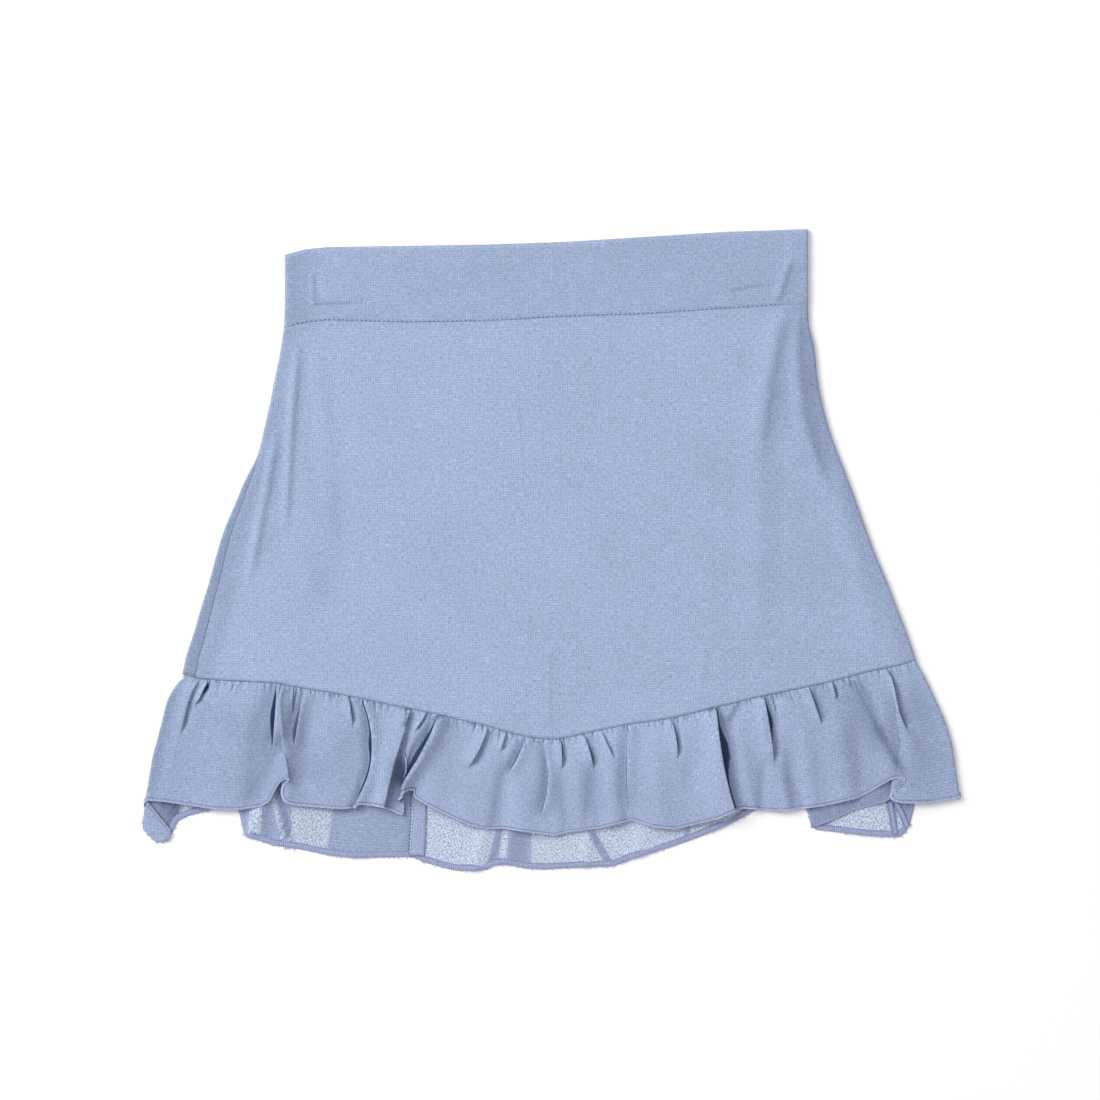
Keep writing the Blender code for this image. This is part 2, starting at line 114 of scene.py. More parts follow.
def add_mesh(name, points, faces, material, uv=None, marks=None):
    """A smooth mesh from points in metres and a list of faces.

    uv and marks hold values for each point, which its material reads.
    """
    mesh = bpy.data.meshes.new(name)
    mesh.from_pydata(points.reshape(-1, 3).tolist(), [], faces)
    if uv is not None:
        corners = np.empty(len(mesh.loops), dtype=np.int32)
        mesh.loops.foreach_get("vertex_index", corners)
        flat = uv.reshape(-1, 2)[corners].astype(np.float32)
        mesh.uv_layers.new(name=UV_NAME).data.foreach_set("uv", flat.ravel())
    for mark, values in (marks or {}).items():
        grid = np.broadcast_to(values, points.shape[:-1]).astype(np.float32)
        layer = mesh.attributes.new(mark, "FLOAT", "POINT")
        layer.data.foreach_set("value", grid.ravel())
    mesh.polygons.foreach_set("use_smooth", np.ones(len(mesh.polygons), dtype=bool))
    mesh.materials.append(material)
    mesh.update()
    mesh.validate()
    return add_object(name, mesh)


matt_white = {"Base Color": TABLE_WHITE, "Roughness": 0.9, "Specular IOR Level": 0.1}
table_paint = new_material("matt_white_table", matt_white)[0]
table_corners = np.array([(-0.5, -0.5, 0), (0.5, -0.5, 0), (0.5, 0.5, 0), (-0.5, 0.5, 0)])
table_top = add_mesh("table_top", TABLE_SIZE * table_corners, [(0, 1, 2, 3)], table_paint)

sky = bpy.data.worlds.new("soft_room")
bpy.context.scene.world = sky
sky.use_nodes = True
sky_light = {"Color": (1.0, 1.0, 1.0, 1.0), "Strength": SKY_STRENGTH}
feed(sky.node_tree.nodes["Background"], sky_light)
for light_name, power, place, size in LIGHTS:
    lamp = bpy.data.lights.new(light_name, "AREA")
    lamp.energy = power
    lamp.size = size
    lamp_object = add_object(light_name, lamp)
    lamp_object.location = place
    lamp_object.rotation_mode = "QUATERNION"
    lamp_object.rotation_quaternion = Vector(place).to_track_quat("Z", "Y")

camera_data = bpy.data.cameras.new("camera")
camera_data.sensor_width = SENSOR
camera_data.lens = SENSOR * CAMERA_PLACE[2] / PICTURE_WIDTH
camera_data.clip_end = CLIP_END
camera = add_object("camera", camera_data)
camera.location = CAMERA_PLACE
bpy.context.scene.camera = camera
bpy.context.scene.view_settings.view_transform = "Standard"


# --- Back panel ---
# The lower of the two A-shaped panels, of light blue plain-weave linen. It
# lies on the table, and turns up over the left fold to the side seam.
MM = 0.001
CENTRE = np.array([0.65, 0.3, 0.0])
CLOTH = 0.5
BACK_Z = 0.45
FRONT_Z = 1.9
FOLD_RADIUS = 1.35
FOLD_OUTER = 0.25
FOLD_EASE = 22.0
FOLD_STEPS = 12
QUARTER = np.pi * FOLD_RADIUS / 2
CREST = BACK_Z + 2 * FOLD_RADIUS
SEAM_HALF_GAP = 0.04
RIGHT_TURN_WIDTH = 16.0
# How far a reading of each table looks to either side, to round its corners.
SECTION_REACH = 5.0
BAND_REACH = 1.5
SEAM_REACH = 4.0
TURN_REACH = 6.0
# Height, and the left and right fold there.
SECTIONS = (
    (163, -175.5, 169.5), (146, -176, 170), (141, -177, 172.3), (128, -179, 174.4),
    (112, -182.5, 175.8), (96, -185.5, 178.9), (79, -189.5, 183.5), (66, -192.2, 188),
    (60, -194.6, 190.6), (46.2, -202, 196), (29.7, -208.6, 202), (13.2, -215.8, 207.9),
    (-3.3, -220.7, 213.9), (-19.8, -225, 221.1), (-36.3, -230.3, 227.4),
    (-52.8, -234.9, 233.9), (-69.3, -240.6, 239.8), (-86, -244, 243.8),
)
# Place across, and the waistband's top and its seam there.
BAND_LINE = (
    (-175, 194.6, 146.8), (-162, 198.2, 150), (-148, 199.7, 151.6), (-94, 200.5, 150.1),
    (-41, 201.4, 151.1), (11, 203.2, 154), (64, 206.5, 155.7), (117, 209.8, 159.4),
    (170, 211.4, 162.8),
)
# Place across, and the front panel's lower seam there.
FRONT_SEAM = (
    (-242.2, -81.8), (-231.7, -85), (-198.7, -86.8), (-180.2, -87.8), (-165.7, -90.8),
    (-139.3, -95), (-123.4, -98.3), (-94.4, -104.3), (-73.3, -108.9), (-46.9, -114.8),
    (-23.8, -121.4), (-7.3, -124.7), (5.9, -124.7), (27.1, -120.1), (50.2, -115.2),
    (79.9, -110.9), (104.9, -104.9), (131.3, -98.3), (157.7, -92.7), (179.5, -88.1),
    (210.5, -79.9), (230.3, -75.9), (240.9, -72.3),
)
BACK_SEAM_DROP = 15.0
BACK_SEAM_RUN = 130.0
TURN_CLEAR = 20.0
# Height, and how far the back turns over the left fold there.
TURN = (
    (160, -2.5), (72, -2.5), (64, 1), (50, 4), (22, 5.8), (-66, 8.8), (-86, 9.2),
)
EDGE_ROUNDS = 12
BACK_ROWS = 90
BACK_ACROSS = 90
TURNED_SHADE = 0.67


def ease(value):
    """A smooth step, 3v squared less 2v cubed, for values from 0 to 1."""
    clipped = np.clip(value, 0.0, 1.0)
    return clipped * clipped * (3.0 - 2.0 * clipped)


def between(share, first, last):
    return first + share * (last - first)


def read_table(value, table, reach):
    """A table's further columns, read between its rows at a value of the first.

    Corners are rounded: each reading is the mean of five within reach.
    """
    key, *columns = np.array(sorted(table)).T
    near = [value + step for step in np.linspace(-reach, reach, 5)]
    return [sum(np.interp(at, key, column) for at in near) / 5 for column in columns]


def band_seam(x):
    return read_table(x, BAND_LINE, SEAM_REACH)[1]


def front_seam(x):
    return read_table(x, FRONT_SEAM, SEAM_REACH)[0]


def back_seam(x):
    """The back's lower seam: the front's, dropped in the middle by an S each side."""
    from_left = (x - FRONT_SEAM[0][0] - TURN_CLEAR) / BACK_SEAM_RUN
    from_right = (FRONT_SEAM[-1][0] - x - TURN_CLEAR) / BACK_SEAM_RUN
    return front_seam(x) - BACK_SEAM_DROP * ease(from_left) * ease(from_right)


def on_tube(arc, left, right):
    """x and z on the flattened tube, at arc lengths from the middle of its left fold.

    Positive lengths run over the front, round the right fold and under it.
    Negative ones run round the left fold and under. Each fold is a half
    circle, and the front eases down from it to lie on the back.
    """
    inner_left = left + FOLD_OUTER + FOLD_RADIUS
    inner_right = right - FOLD_OUTER - FOLD_RADIUS
    across = inner_right - inner_left
    run = np.clip(arc - QUARTER, 0.0, across)
    level = ease(np.minimum(run, across - run) / FOLD_EASE)
    x, z = inner_left + run, between(level, CREST, FRONT_Z)
    folds = ((QUARTER - arc, inner_left, -1.0), (arc - QUARTER - across, inner_right, 1.0))
    for past, inner, side in folds:
        turn = np.clip(past / FOLD_RADIUS, 0.0, np.pi)
        reach = FOLD_RADIUS * np.sin(turn) - np.maximum(past - 2 * QUARTER, 0.0)
        x = np.where(past > 0, inner + side * reach, x)
        z = np.where(past > 0, BACK_Z + FOLD_RADIUS * (1.0 + np.cos(turn)), z)
    return x, z


def back_arcs(turn_width, across, steps):
    """Arc lengths from the left side seam, under the fold and across the back."""
    start = np.maximum(turn_width - SEAM_HALF_GAP, -QUARTER - 8.0)
    under = -QUARTER - 10.0
    end = -QUARTER - across + RIGHT_TURN_WIDTH + SEAM_HALF_GAP
    near = between(np.linspace(0.0, 1.0, 2 * FOLD_STEPS), start, under)
    far = between(np.linspace(0.0, 1.0, steps)[1:], under, end)
    return np.concatenate([near, far], axis=1)


def tube_piece(arcs_of, top_line, foot_line, edge_foot_line, rows, steps):
    """x, y, z and length across of a piece of the flattened tube, as grids.

    Each row lies at a share of the way from the top line to the foot line. Its
    height at an edge depends on where the edge is, so both are found in turns.
    The length across is measured from the skirt's middle, so the grain runs
    straight down the piece.
    """
    share = np.linspace(0.0, 1.0, rows)[:, None]

    def height(x, foot):
        return between(share, top_line(x), foot(x))

    left, right = np.full_like(share, -200.0), np.full_like(share, 200.0)
    for _ in range(EDGE_ROUNDS):
        left = read_table(height(left, edge_foot_line), SECTIONS, SECTION_REACH)[0]
        right = read_table(height(right, edge_foot_line), SECTIONS, SECTION_REACH)[1]
    turn_width = read_table(height(left, edge_foot_line), TURN, TURN_REACH)[0]
    arcs = arcs_of(turn_width, right - left - 2 * (FOLD_OUTER + FOLD_RADIUS), steps)
    x, z = on_tube(arcs, left, right)
    return x, height(x, foot_line), z, arcs + left


def quads(*corners):
    """Faces of four corners, from four grids of point numbers."""
    return np.stack(corners, axis=-1).reshape(-1, 4).tolist()


def add_piece(name, points, faces, material, uv=None, marks=None):
    """A mesh from points and UV in millimetres that belongs to the skirt."""
    uv = None if uv is None else uv * MM
    piece = add_mesh(name, (points - CENTRE) * MM, faces, material, uv, marks)
    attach(piece, "root")
    return piece


def add_cloth(name, grids, material, wall=CLOTH, shade=1.0, single=0.0):
    """A cloth from grids of x, y, z, u and v, with its marks shade and single."""
    x, y, z, u, v = np.broadcast_arrays(*grids)
    index = np.arange(x.size).reshape(x.shape)
    cloth = add_piece(
        name,
        np.stack([x, y, z], axis=-1),
        quads(index[:-1, :-1], index[1:, :-1], index[1:, 1:], index[:-1, 1:]),
        material,
        np.stack([u, v], axis=-1),
        {"shade": shade, "single": single},
    )
    solid = cloth.modifiers.new("cloth_wall", "SOLIDIFY")
    solid.thickness = wall * MM
    solid.offset = 0.0
    return cloth


LINEN_BLUE = (0.340, 0.417, 0.597)
# Painted shade mixes the linen's colour towards this navy.
SHADE_NAVY = (0.010, 0.027, 0.085, 1.0)
# Painted light of the white table, seen through the pores of single cloth.
LIT_THROUGH = (0.70, 0.80, 0.90, 1.0)
# Pitch and length of the yarns, the thick slubs in them and the pores between,
# in metres, as all lengths in the material are.
YARN = (0.00044, 0.0028)
SLUB = (0.0007, 0.011)
PORE = (0.00052, 0.0015)
CLOUD = (0.055, 0.070)
LINE_PATCH = (0.0022, 0.0060)
LINE_PITCH = 0.00160
LINE_DEPTH = 0.135
LINE_SWAY = (0.030, 0.030)
NEP_SPACING = 0.034
NEP_REACH = 0.024
# Painted shadow ticks under the ruffle's seam, where its small puckers meet it.
TICK = (0.0011, 0.0060)
TICK_TAPER = 45.0
TICK_SHADE = 0.50
BUMP_STRENGTH = 0.30
BUMP_DEPTH = 0.00020
# Painted shadow line along the ruffle's seam.
SEAM_LINE = 0.0007
SEAM_LINE_SHADE = 0.22


def linen(name, colour, gathered=False):
    """Plain-weave linen. Warp and weft are two noises drawn out along the yarn.

    Thicker slubs run either way, dark neps are scattered, and broad clouds vary
    the dye. The mark shade is painted shade: it darkens the colour towards navy
    where shade falls, in folds, slits and seams. The mark single passes a half
    where one layer lies alone, and there the white table's light is painted
    shining through its pores. Gathered linen is sewn in at v = 0, with a thin
    painted shadow line there and short painted shadow ticks that taper off below it.
    """
    matt = {"Roughness": 0.86, "Specular IOR Level": 0.22}
    sheen = {"Sheen Weight": 0.06, "Sheen Roughness": 0.55}
    material, shader, add = new_material(name, {**matt, **sheen})

    def place(scale_u, scale_v, seed=0.0):
        inputs = {"Vector": uv, "Location": (seed, seed * 0.7, 0.0)}
        return add("Mapping", {**inputs, "Scale": (scale_u, scale_v, 1.0)})["Vector"]

    def yarn(along_u, size, detail, seed):
        """Noise of one yarn direction, from 0 to 1."""
        pitch, length = size
        scales = (1.0 / length, 1.0 / pitch) if along_u else (1.0 / pitch, 1.0 / length)
        inputs = {"Vector": place(*scales, seed), "Scale": 1.0}
        return add("TexNoise", {**inputs, "Detail": detail, "Roughness": 0.55})["Fac"]

    def maths(operation, *values):
        return add("Math", dict(enumerate(values)), operation=operation)["Value"]

    def times(first, second):
        return maths("MULTIPLY", first, second)

    def plus(first, second):
        return maths("ADD", first, second)

    def ramp(value, low, high, start, end):
        """Smooth step of a value between low and high, from start to end."""
        ends = {"From Min": low, "From Max": high, "To Min": start, "To Max": end}
        inputs = {"Value": value, **ends}
        return add("MapRange", inputs, interpolation_type="SMOOTHSTEP")["Result"]

    def blend(share, first, second):
        """Colour between two, each a plain colour or a link."""
        return add("Mix", {0: share, 6: first, 7: second}, data_type="RGBA")[2]

    def lines(axis, along_u, seed):
        """Even rows of one yarn, swaying a little and showing only in places."""
        sway = times(yarn(True, LINE_SWAY, 1.0, seed), 9.0)
        turn = plus(times(apart[axis], 2 * np.pi / LINE_PITCH), sway)
        shown = ramp(yarn(along_u, LINE_PATCH, 1.0, seed + 1.7), 0.36, 0.66, 0.0, 1.0)
        return times(maths("SINE", turn), shown)

    uv = add("UVMap", {}, uv_map=UV_NAME)["UV"]
    apart = add("SeparateXYZ", {"Vector": uv})
    thickness = plus(yarn(True, YARN, 1.0, 3.1), yarn(False, YARN, 1.0, 7.7))
    slubs = plus(
        ramp(yarn(True, SLUB, 0.0, 1.3), 0.58, 0.78, 0.0, 1.0),
        ramp(yarn(False, SLUB, 0.0, 5.9), 0.64, 0.82, 0.0, 0.6),
    )
    tone = plus(ramp(thickness, 0.60, 1.40, 0.74, 1.24), times(slubs, 0.15))
    woven = plus(lines("X", False, 2.4), lines("Y", True, 6.6))
    tone = plus(tone, times(woven, LINE_DEPTH))
    tone = times(tone, ramp(yarn(True, CLOUD, 2.0, 2.2), 0.25, 0.75, 0.97, 1.03))
    neps = {"Vector": place(1.0 / NEP_SPACING, 1.0 / NEP_SPACING), "Scale": 1.0}
    from_nep = add("TexVoronoi", neps)["Distance"]
    tone = times(tone, ramp(from_nep, 0.008, NEP_REACH, 0.62, 1.0))
    grid = plus(yarn(True, PORE, 0.5, 9.3), yarn(False, PORE, 0.5, 4.4))
    single = add("Attribute", {}, attribute_name="single")["Fac"]
    single = ramp(single, 0.42, 0.58, 0.0, 1.0)
    crossed = times(ramp(grid, 1.02, 1.25, 0.0, 0.30), single)
    tone = times(tone, maths("SUBTRACT", 1.0, crossed))
    dyed = add("VectorMath", {0: colour, "Scale": tone}, operation="SCALE")["Vector"]
    pores = ramp(grid, 0.80, 1.14, 0.92, 0.12)
    lit = blend(times(pores, single), dyed, LIT_THROUGH)
    shade = add("Attribute", {}, attribute_name="shade")["Fac"]
    if gathered:
        # Painted shadow: a thin line at the seam and short ticks tapering off below it.
        below = apart["Y"]
        ticks = plus(yarn(False, TICK, 1.0, 8.2), times(below, TICK_TAPER))
        shade = times(shade, ramp(ticks, 0.50, 0.60, 1.0, 1.0 - TICK_SHADE))
        shade = times(shade, ramp(below, -SEAM_LINE, 0.0, 1.0, 1.0 - SEAM_LINE_SHADE))
    bump = {"Strength": BUMP_STRENGTH, "Distance": BUMP_DEPTH}
    relief = {**bump, "Height": plus(thickness, slubs)}
    surface = {"Base Color": blend(shade, SHADE_NAVY, lit), "Normal": add("Bump", relief)[0]}
    feed(shader, surface)
    return material


panel_linen = linen("panel_linen", LINEN_BLUE)
back_x, back_y, back_z, back_across = tube_piece(
    back_arcs, band_seam, back_seam, front_seam, BACK_ROWS, BACK_ACROSS
)
back_grids = (back_x, back_y, back_z, back_across, back_y)
back_cloth = add_cloth("back_panel_cloth", back_grids, panel_linen, shade=TURNED_SHADE)
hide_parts("back_panel")


# --- Front panel ---
# The upper A-shaped panel, of the same linen, with soft folds where it has
# lain folded. It is joined to the back at both sides and turns under at the right.

# Each fold: x and y at its top, middle and foot, how far it runs out to the
# left and right, its height and the shade painted beside it.
PANEL_FOLDS = (
    (-157.7, 138.6, -148, 69, -145.9, -26, 8, 6, 0.6, 0.02),
    (-153, 36, -156, 0, -157, -38, 14, 10, 0.5, 0.02),
    (-167, 132, -171.2, 82, -175, 16, 3, 2.8, 1.25, 0.11),
    (-181.5, 73, -189, 33, -198.7, -17.8, 3.2, 3.2, 1.25, 0.11),
    (-22.4, 100, -20.4, 72, -19.1, 44, 1.2, 1.2, 0.22, 0.04),
    (153.5, 158, 142.6, 108.9, 137.3, 60, 9, 5, 1.75, 0.06),
    (137, 66, 137.6, 6, 134.6, -56, 11, 9, 0.7, 0),
    (164, 156, 163.4, 105, 181, 43, 4.5, 4, 1.6, 0.08),
    (188, 60, 203, -10, 212, -60, 10, 6, 0.6, 0.02),
    (-1.3, -68, -1.1, -100, -1.3, -123, 1, 1.3, 0.34, 0.07),
    (101.6, -64, 100, -80, 98.3, -98, 5, 2, 0.3, 0.04),
    (-215, -20, -223, -52, -228, -80, 5, 9, 0.4, 0.03),
    (-60, 140, -75, 60, -95, -60, 34, 30, 0.5, 0),
    (60, 140, 66, 40, 74, -60, 34, 34, 0.5, 0),
)
# Each painted shade: x and y at its top and foot, its run at both, and how dark it is.
PANEL_SHADES = (
    (-153.8, 52.8, -156.4, -33, 9, 12, 0.07), (-161.7, 125, -163, 60, 3.6, 5, 0.06),
    (-176, 60, -184, 0, 4, 6, 0.05), (159, 152, 149.5, 84, 6.5, 9, 0.13),
    (147, 84, 143, -30, 7, 8, 0.05), (169, 118, 179.5, 56, 5.5, 7.5, 0.19),
    (164, 92, 168.5, 58, 4, 4, 0.12), (170, 150, 172.5, 108, 4.5, 5, 0.13),
)
FRONT_ROWS = 125
FRONT_ACROSS = 330
FRONT_SHADE = 0.930
ON_TOP_Z = FRONT_Z - 0.01
LEVEL_RUN = 7.0
# How much shade is painted on the cloth near the left and right fold, and how far in.
EDGE_SHADES = ((0.14, 16.0), (0.15, 22.0))
# Painted shade in the side seam's groove, and a painted highlight on the cloth beside it.
SEAM_SHADE = 0.15
SEAM_SHADE_RUN = 0.45
SEAM_HIGHLIGHT = 0.05
SEAM_HIGHLIGHT_PLACE = 1.7
SEAM_HIGHLIGHT_RUN = 0.7
# Painted shade on the panel just under the waistband.
UNDER_BAND_SHADE = 0.035
UNDER_BAND_SHADE_RUN = 6.0


def front_arcs(turn_width, across, steps):
    """Arc lengths from the left side seam, across the front and round the right."""
    near = turn_width + SEAM_HALF_GAP + np.linspace(0.0, 12.0, FOLD_STEPS)
    flat = between(np.linspace(0.0, 1.0, steps)[1:], near[:, -1:], QUARTER + across)
    fold = QUARTER + across + 2 * QUARTER * np.linspace(0.0, 1.0, FOLD_STEPS)[1:]
    under = fold[:, -1:] + RIGHT_TURN_WIDTH * np.linspace(0.0, 1.0, 6)[1:]
    return np.concatenate([near, flat, fold, under], axis=1)


def bell(distance, run):
    """A bell, e to the power of less the square of distance over run."""
    return np.exp(-((distance / run) ** 2))


def window(value, low, low_run, high, high_run):
    """Fades in over a run from low and out over another up to high."""
    return ease((value - low) / low_run) * ease((high - value) / high_run)


def soft_folds(x, y, table):
    """Rise and shade of the folds in a table, summed.

    Each is a ridge along an even curve through its three points. It falls away
    by a bell on either side, of its own run there, and fades past its two ends.
    Its shade darkens the side away from the light.
    """
    rise = np.zeros(np.broadcast(x, y).shape)
    light = np.ones_like(rise)
    for row in table:
        points = np.reshape(row[:6], (3, 2))
        left_run, right_run, height, shade = row[6:]
        top, foot = points[0, 1], points[2, 1]
        curve = np.polyfit(points[:, 1], points[:, 0], 2)
        across = x - np.polyval(curve, np.clip(y, foot - 12.0, top + 12.0))
        fade = window((top - y) / (top - foot), -0.12, 0.30, 1.12, 0.35)
        rise += height * fade * bell(across, np.where(across < 0, left_run, right_run))
        light *= 1.0 - shade * fade * bell(across - 0.7 * right_run, 0.8 * right_run)
    return rise, light


def soft_shades(x, y, table):
    """Broad soft painted shade along straight lines, a bell across each."""
    light = np.ones(np.broadcast(x, y).shape)
    for x_top, y_top, x_foot, y_foot, top_run, foot_run, amount in table:
        along = (y_top - y) / (y_top - y_foot)
        held = np.clip(along, 0.0, 1.0)
        across = bell(x - between(held, x_top, x_foot), between(held, top_run, foot_run))
        light *= 1.0 - amount * window(along, -0.3, 0.45, 1.3, 0.45) * across
    return light


front_x, front_y, front_z, front_across = tube_piece(
    front_arcs, band_seam, front_seam, front_seam, FRONT_ROWS, FRONT_ACROSS
)
share_down = np.linspace(0.0, 1.0, FRONT_ROWS)[:, None]
from_left = front_x - front_x.min(axis=1, keepdims=True)
from_right = front_x.max(axis=1, keepdims=True) - front_x
level_at_edges = window(share_down, 0.0, 0.05, 1.0, 0.06)
level_at_edges = level_at_edges * ease(np.minimum(from_left, from_right) / LEVEL_RUN)
on_top = front_z > ON_TOP_Z
fold_rise, fold_shade = soft_folds(front_x, front_y, PANEL_FOLDS)
front_z = front_z + np.where(on_top, fold_rise * level_at_edges, 0.0)
front_shade = FRONT_SHADE * fold_shade * soft_shades(front_x, front_y, PANEL_SHADES)
# Painted shade near both folds, in the seam's groove and under the band, and a painted
# highlight beside the seam.
(left_dark, left_run), (right_dark, right_run) = EDGE_SHADES
doubled_shade = left_dark * (1.0 - ease(from_left / left_run))
doubled_shade = doubled_shade + right_dark * (1.0 - ease(from_right / right_run))
from_seam = front_across - front_across[:, :1]
below_band = front_y.max(axis=0, keepdims=True) - front_y
front_shade = front_shade * (1.0 - doubled_shade)
front_shade = front_shade * (1.0 - SEAM_SHADE * bell(from_seam, SEAM_SHADE_RUN))
beside_seam = bell(from_seam - SEAM_HIGHLIGHT_PLACE, SEAM_HIGHLIGHT_RUN)
front_shade = front_shade * (1.0 + SEAM_HIGHLIGHT * beside_seam)
front_shade = front_shade * (1.0 - UNDER_BAND_SHADE * bell(below_band, UNDER_BAND_SHADE_RUN))
front_grids = (front_x, front_y, front_z, front_across, front_y)
front_cloth = add_cloth("front_panel_cloth", front_grids, panel_linen, shade=front_shade)
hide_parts("front_panel")


# --- Waistband, front and back ---
# Two strips of the linen folded double along the top edge and pressed, sewn
# to the panels. The elastic held in the back half pulls the front's stitching.
# Rows and steps across of each half, and its lift off the panels.
BAND_FRONT = (62, 250, 0.40)
BAND_BACK = (14, 60, 0.75)
BAND_WALL = 0.7
BAND_LAP = 0.5
BAND_SHADE = 0.862
BAND_ROUND_TOP = 1.1
BAND_ROUND_FOOT = 0.55
BAND_ROUND_SHARE = 0.05
BAND_UNDER_LIFT = 0.12
ELASTIC_SHADE = 0.24
# Folds and painted shades of the band, with the panel's columns.
BAND_FOLDS = (
    (-156.8, 184, -156.6, 173, -156, 161.5, 2.2, 1.2, 0.45, 0.14),
    (157.7, 190, 153, 175, 149.2, 164, 3.2, 1.6, 0.95, 0.11),
)
BAND_SHADES = (
    (160, 188, 154.5, 162, 4, 6, 0.12), (-171, 195, -171, 150, 9, 9, 0.13),
    (168, 195, 168, 165, 4, 4, 0.06),
)
# Each stitched end: x and y where it starts and stops, its width and depth.
ELASTIC_ENDS = (
    (-155.6, 161.6, -121, 162.6, 1, 0.75), (118.8, 170.4, 149, 175.4, 1.4, 0.62),
)


def band_top(x):
    return read_table(x, BAND_LINE, BAND_REACH)[0]


def band_foot(x):
    return band_seam(x) - BAND_LAP


def add_band(name, arcs_of, rows, steps, lift):
    """One half of the band: a strip of the flattened tube, rounded at its edges.

    Shallow grooves are pulled in along the ends of the elastic, with painted
    shade in them.
    """
    x, y, z, across = tube_piece(arcs_of, band_top, band_foot, band_foot, rows, steps)
    share = np.linspace(0.0, 1.0, rows)[:, None]
    round_top = -BAND_ROUND_TOP * (1.0 - ease(share / BAND_ROUND_SHARE))
    round_foot = -BAND_ROUND_FOOT * (1.0 - ease((1.0 - share) / BAND_ROUND_SHARE))
    rise, fold_shade = soft_folds(x, y, BAND_FOLDS)
    pull = np.zeros_like(x)
    for x_from, y_from, x_to, y_to, width, depth in ELASTIC_ENDS:
        along = (x - x_from) / (x_to - x_from)
        middle = between(np.clip(along, 0.0, 1.0), y_from, y_to)
        pull -= depth * window(along, -0.05, 0.1, 1.05, 0.5) * bell(y - middle, width)
    shaped = lift + round_top + round_foot + rise + pull
    z = z + np.where(z > ON_TOP_Z, shaped, BAND_UNDER_LIFT)
    # Painted shade in the elastic's grooves.
    shade = BAND_SHADE * fold_shade * (1.0 + ELASTIC_SHADE * pull)
    shade = shade * soft_shades(x, y, BAND_SHADES)
    return add_cloth(name, (x, y, z, across, y), panel_linen, BAND_WALL, shade)


band_front_cloth = add_band("waistband_front_cloth", front_arcs, *BAND_FRONT)
band_back_cloth = add_band("waistband_back_cloth", back_arcs, *BAND_BACK)
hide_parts("waistband_front")
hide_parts("waistband_back")


# --- Topstitching of the waistband ---
# A line of lockstitch in matching thread along the band's lower edge, about
# three stitches to the centimetre. Between each two, a dark tube of painted
# shadow stands in the needle hole.
STITCH_PITCH = 3.0
STITCH_ABOVE_EDGE = 0.55
STITCH_Z = FRONT_Z + 0.58
# Length, half width and half height of each.
STITCH = (2.3, 0.26, 0.18)
HOLE = (1.3, 0.275, 0.12)
THREAD_BLUE = (0.38, 0.45, 0.65)
# Colour of the painted shadow in the needle holes.
NEEDLE_SHADE_NAVY = (0.105, 0.135, 0.275)
STITCH_SIDES = 6
STITCH_FAT = np.array([0.45, 0.9, 1.0, 0.9, 0.45])
STITCH_RUN = np.linspace(-0.5, 0.5, len(STITCH_FAT))


def shades_of(add, colour, noise_inputs, darkest, low):
    """A colour varied by a noise, from darkest times it to a quarter paler."""
    noise = add("TexNoise", noise_inputs)["Fac"]
    shade = add("ValToRGB", {"Fac": noise})["Color"]
    first, last = shade.node.color_ramp.elements
    first.position, last.position = low, 1.0 - low
    first.color = (*(darkest * c for c in colour), 1.0)
    last.color = (*(min(1.0, 1.25 * c) for c in colour), 1.0)
    return shade


def thread(name, colour, rough=0.6):
    """Plain sewing thread with a fine twist across it."""
    inputs = {"Roughness": rough, "Specular IOR Level": 0.3}
    material, shader, add = new_material(name, inputs)
    place = add("TexCoord", {})["Object"]
    twist = {"Vector": place, "Scale": 900.0, "Detail": 1.0}
    feed(shader, {"Base Color": shades_of(add, colour, twist, 0.72, 0.3)})
    return material


def add_tubes(name, paths, wide, high, sides, material):
    """Many short threads in one mesh, each an elliptical tube along its path.

    paths is an array of threads by points by three, in millimetres, and wide
    and high are the half widths at each point, aside and up. Each thread is
    round about its path, and both its ends are closed by a flat face.
    """
    count, length = paths.shape[:2]
    ahead = np.gradient(paths, axis=1)
    ahead = ahead / np.linalg.norm(ahead, axis=2, keepdims=True)
    aside = np.stack([-ahead[..., 1], ahead[..., 0], np.zeros((count, length))], axis=-1)
    aside = aside / np.maximum(np.linalg.norm(aside, axis=2, keepdims=True), 1e-6)
    above = np.cross(ahead, aside)
    turn = np.linspace(0.0, 2 * np.pi, sides, endpoint=False)[:, None]
    wide = np.broadcast_to(wide, (count, length))[..., None, None]
    high = np.broadcast_to(high, (count, length))[..., None, None]
    ring = wide * aside[:, :, None] * np.cos(turn) + high * above[:, :, None] * np.sin(turn)
    index = np.arange(count * length * sides).reshape(count, length, sides)
    nearer, further = index[:, :-1], index[:, 1:]
    faces = quads(nearer, np.roll(nearer, -1, axis=2), np.roll(further, -1, axis=2), further)
    faces += index[:, 0, ::-1].tolist() + index[:, -1].tolist()
    return add_piece(name, paths[:, :, None] + ring, faces, material)


def sew(name, x, y, z, size, material):
    """Stitches or holes of one size, from grids of x, y and z along each."""
    wide, high = (half * STITCH_FAT for half in size[1:])
    paths = np.stack(np.broadcast_arrays(x, y, z), axis=-1)
    add_tubes(name, paths, wide, high, STITCH_SIDES, material)


stitch_x = np.arange(-171.5, 166.0, STITCH_PITCH)[:, None]
stitch_y = band_seam(stitch_x) + STITCH_ABOVE_EDGE
stitch_slope = np.gradient(stitch_y, axis=0) / STITCH_PITCH
stitch_edge = np.minimum(stitch_x + 175.0, 170.0 - stitch_x)
stitch_z = STITCH_Z + 1.2 * (1.0 - ease(stitch_edge / FOLD_EASE))


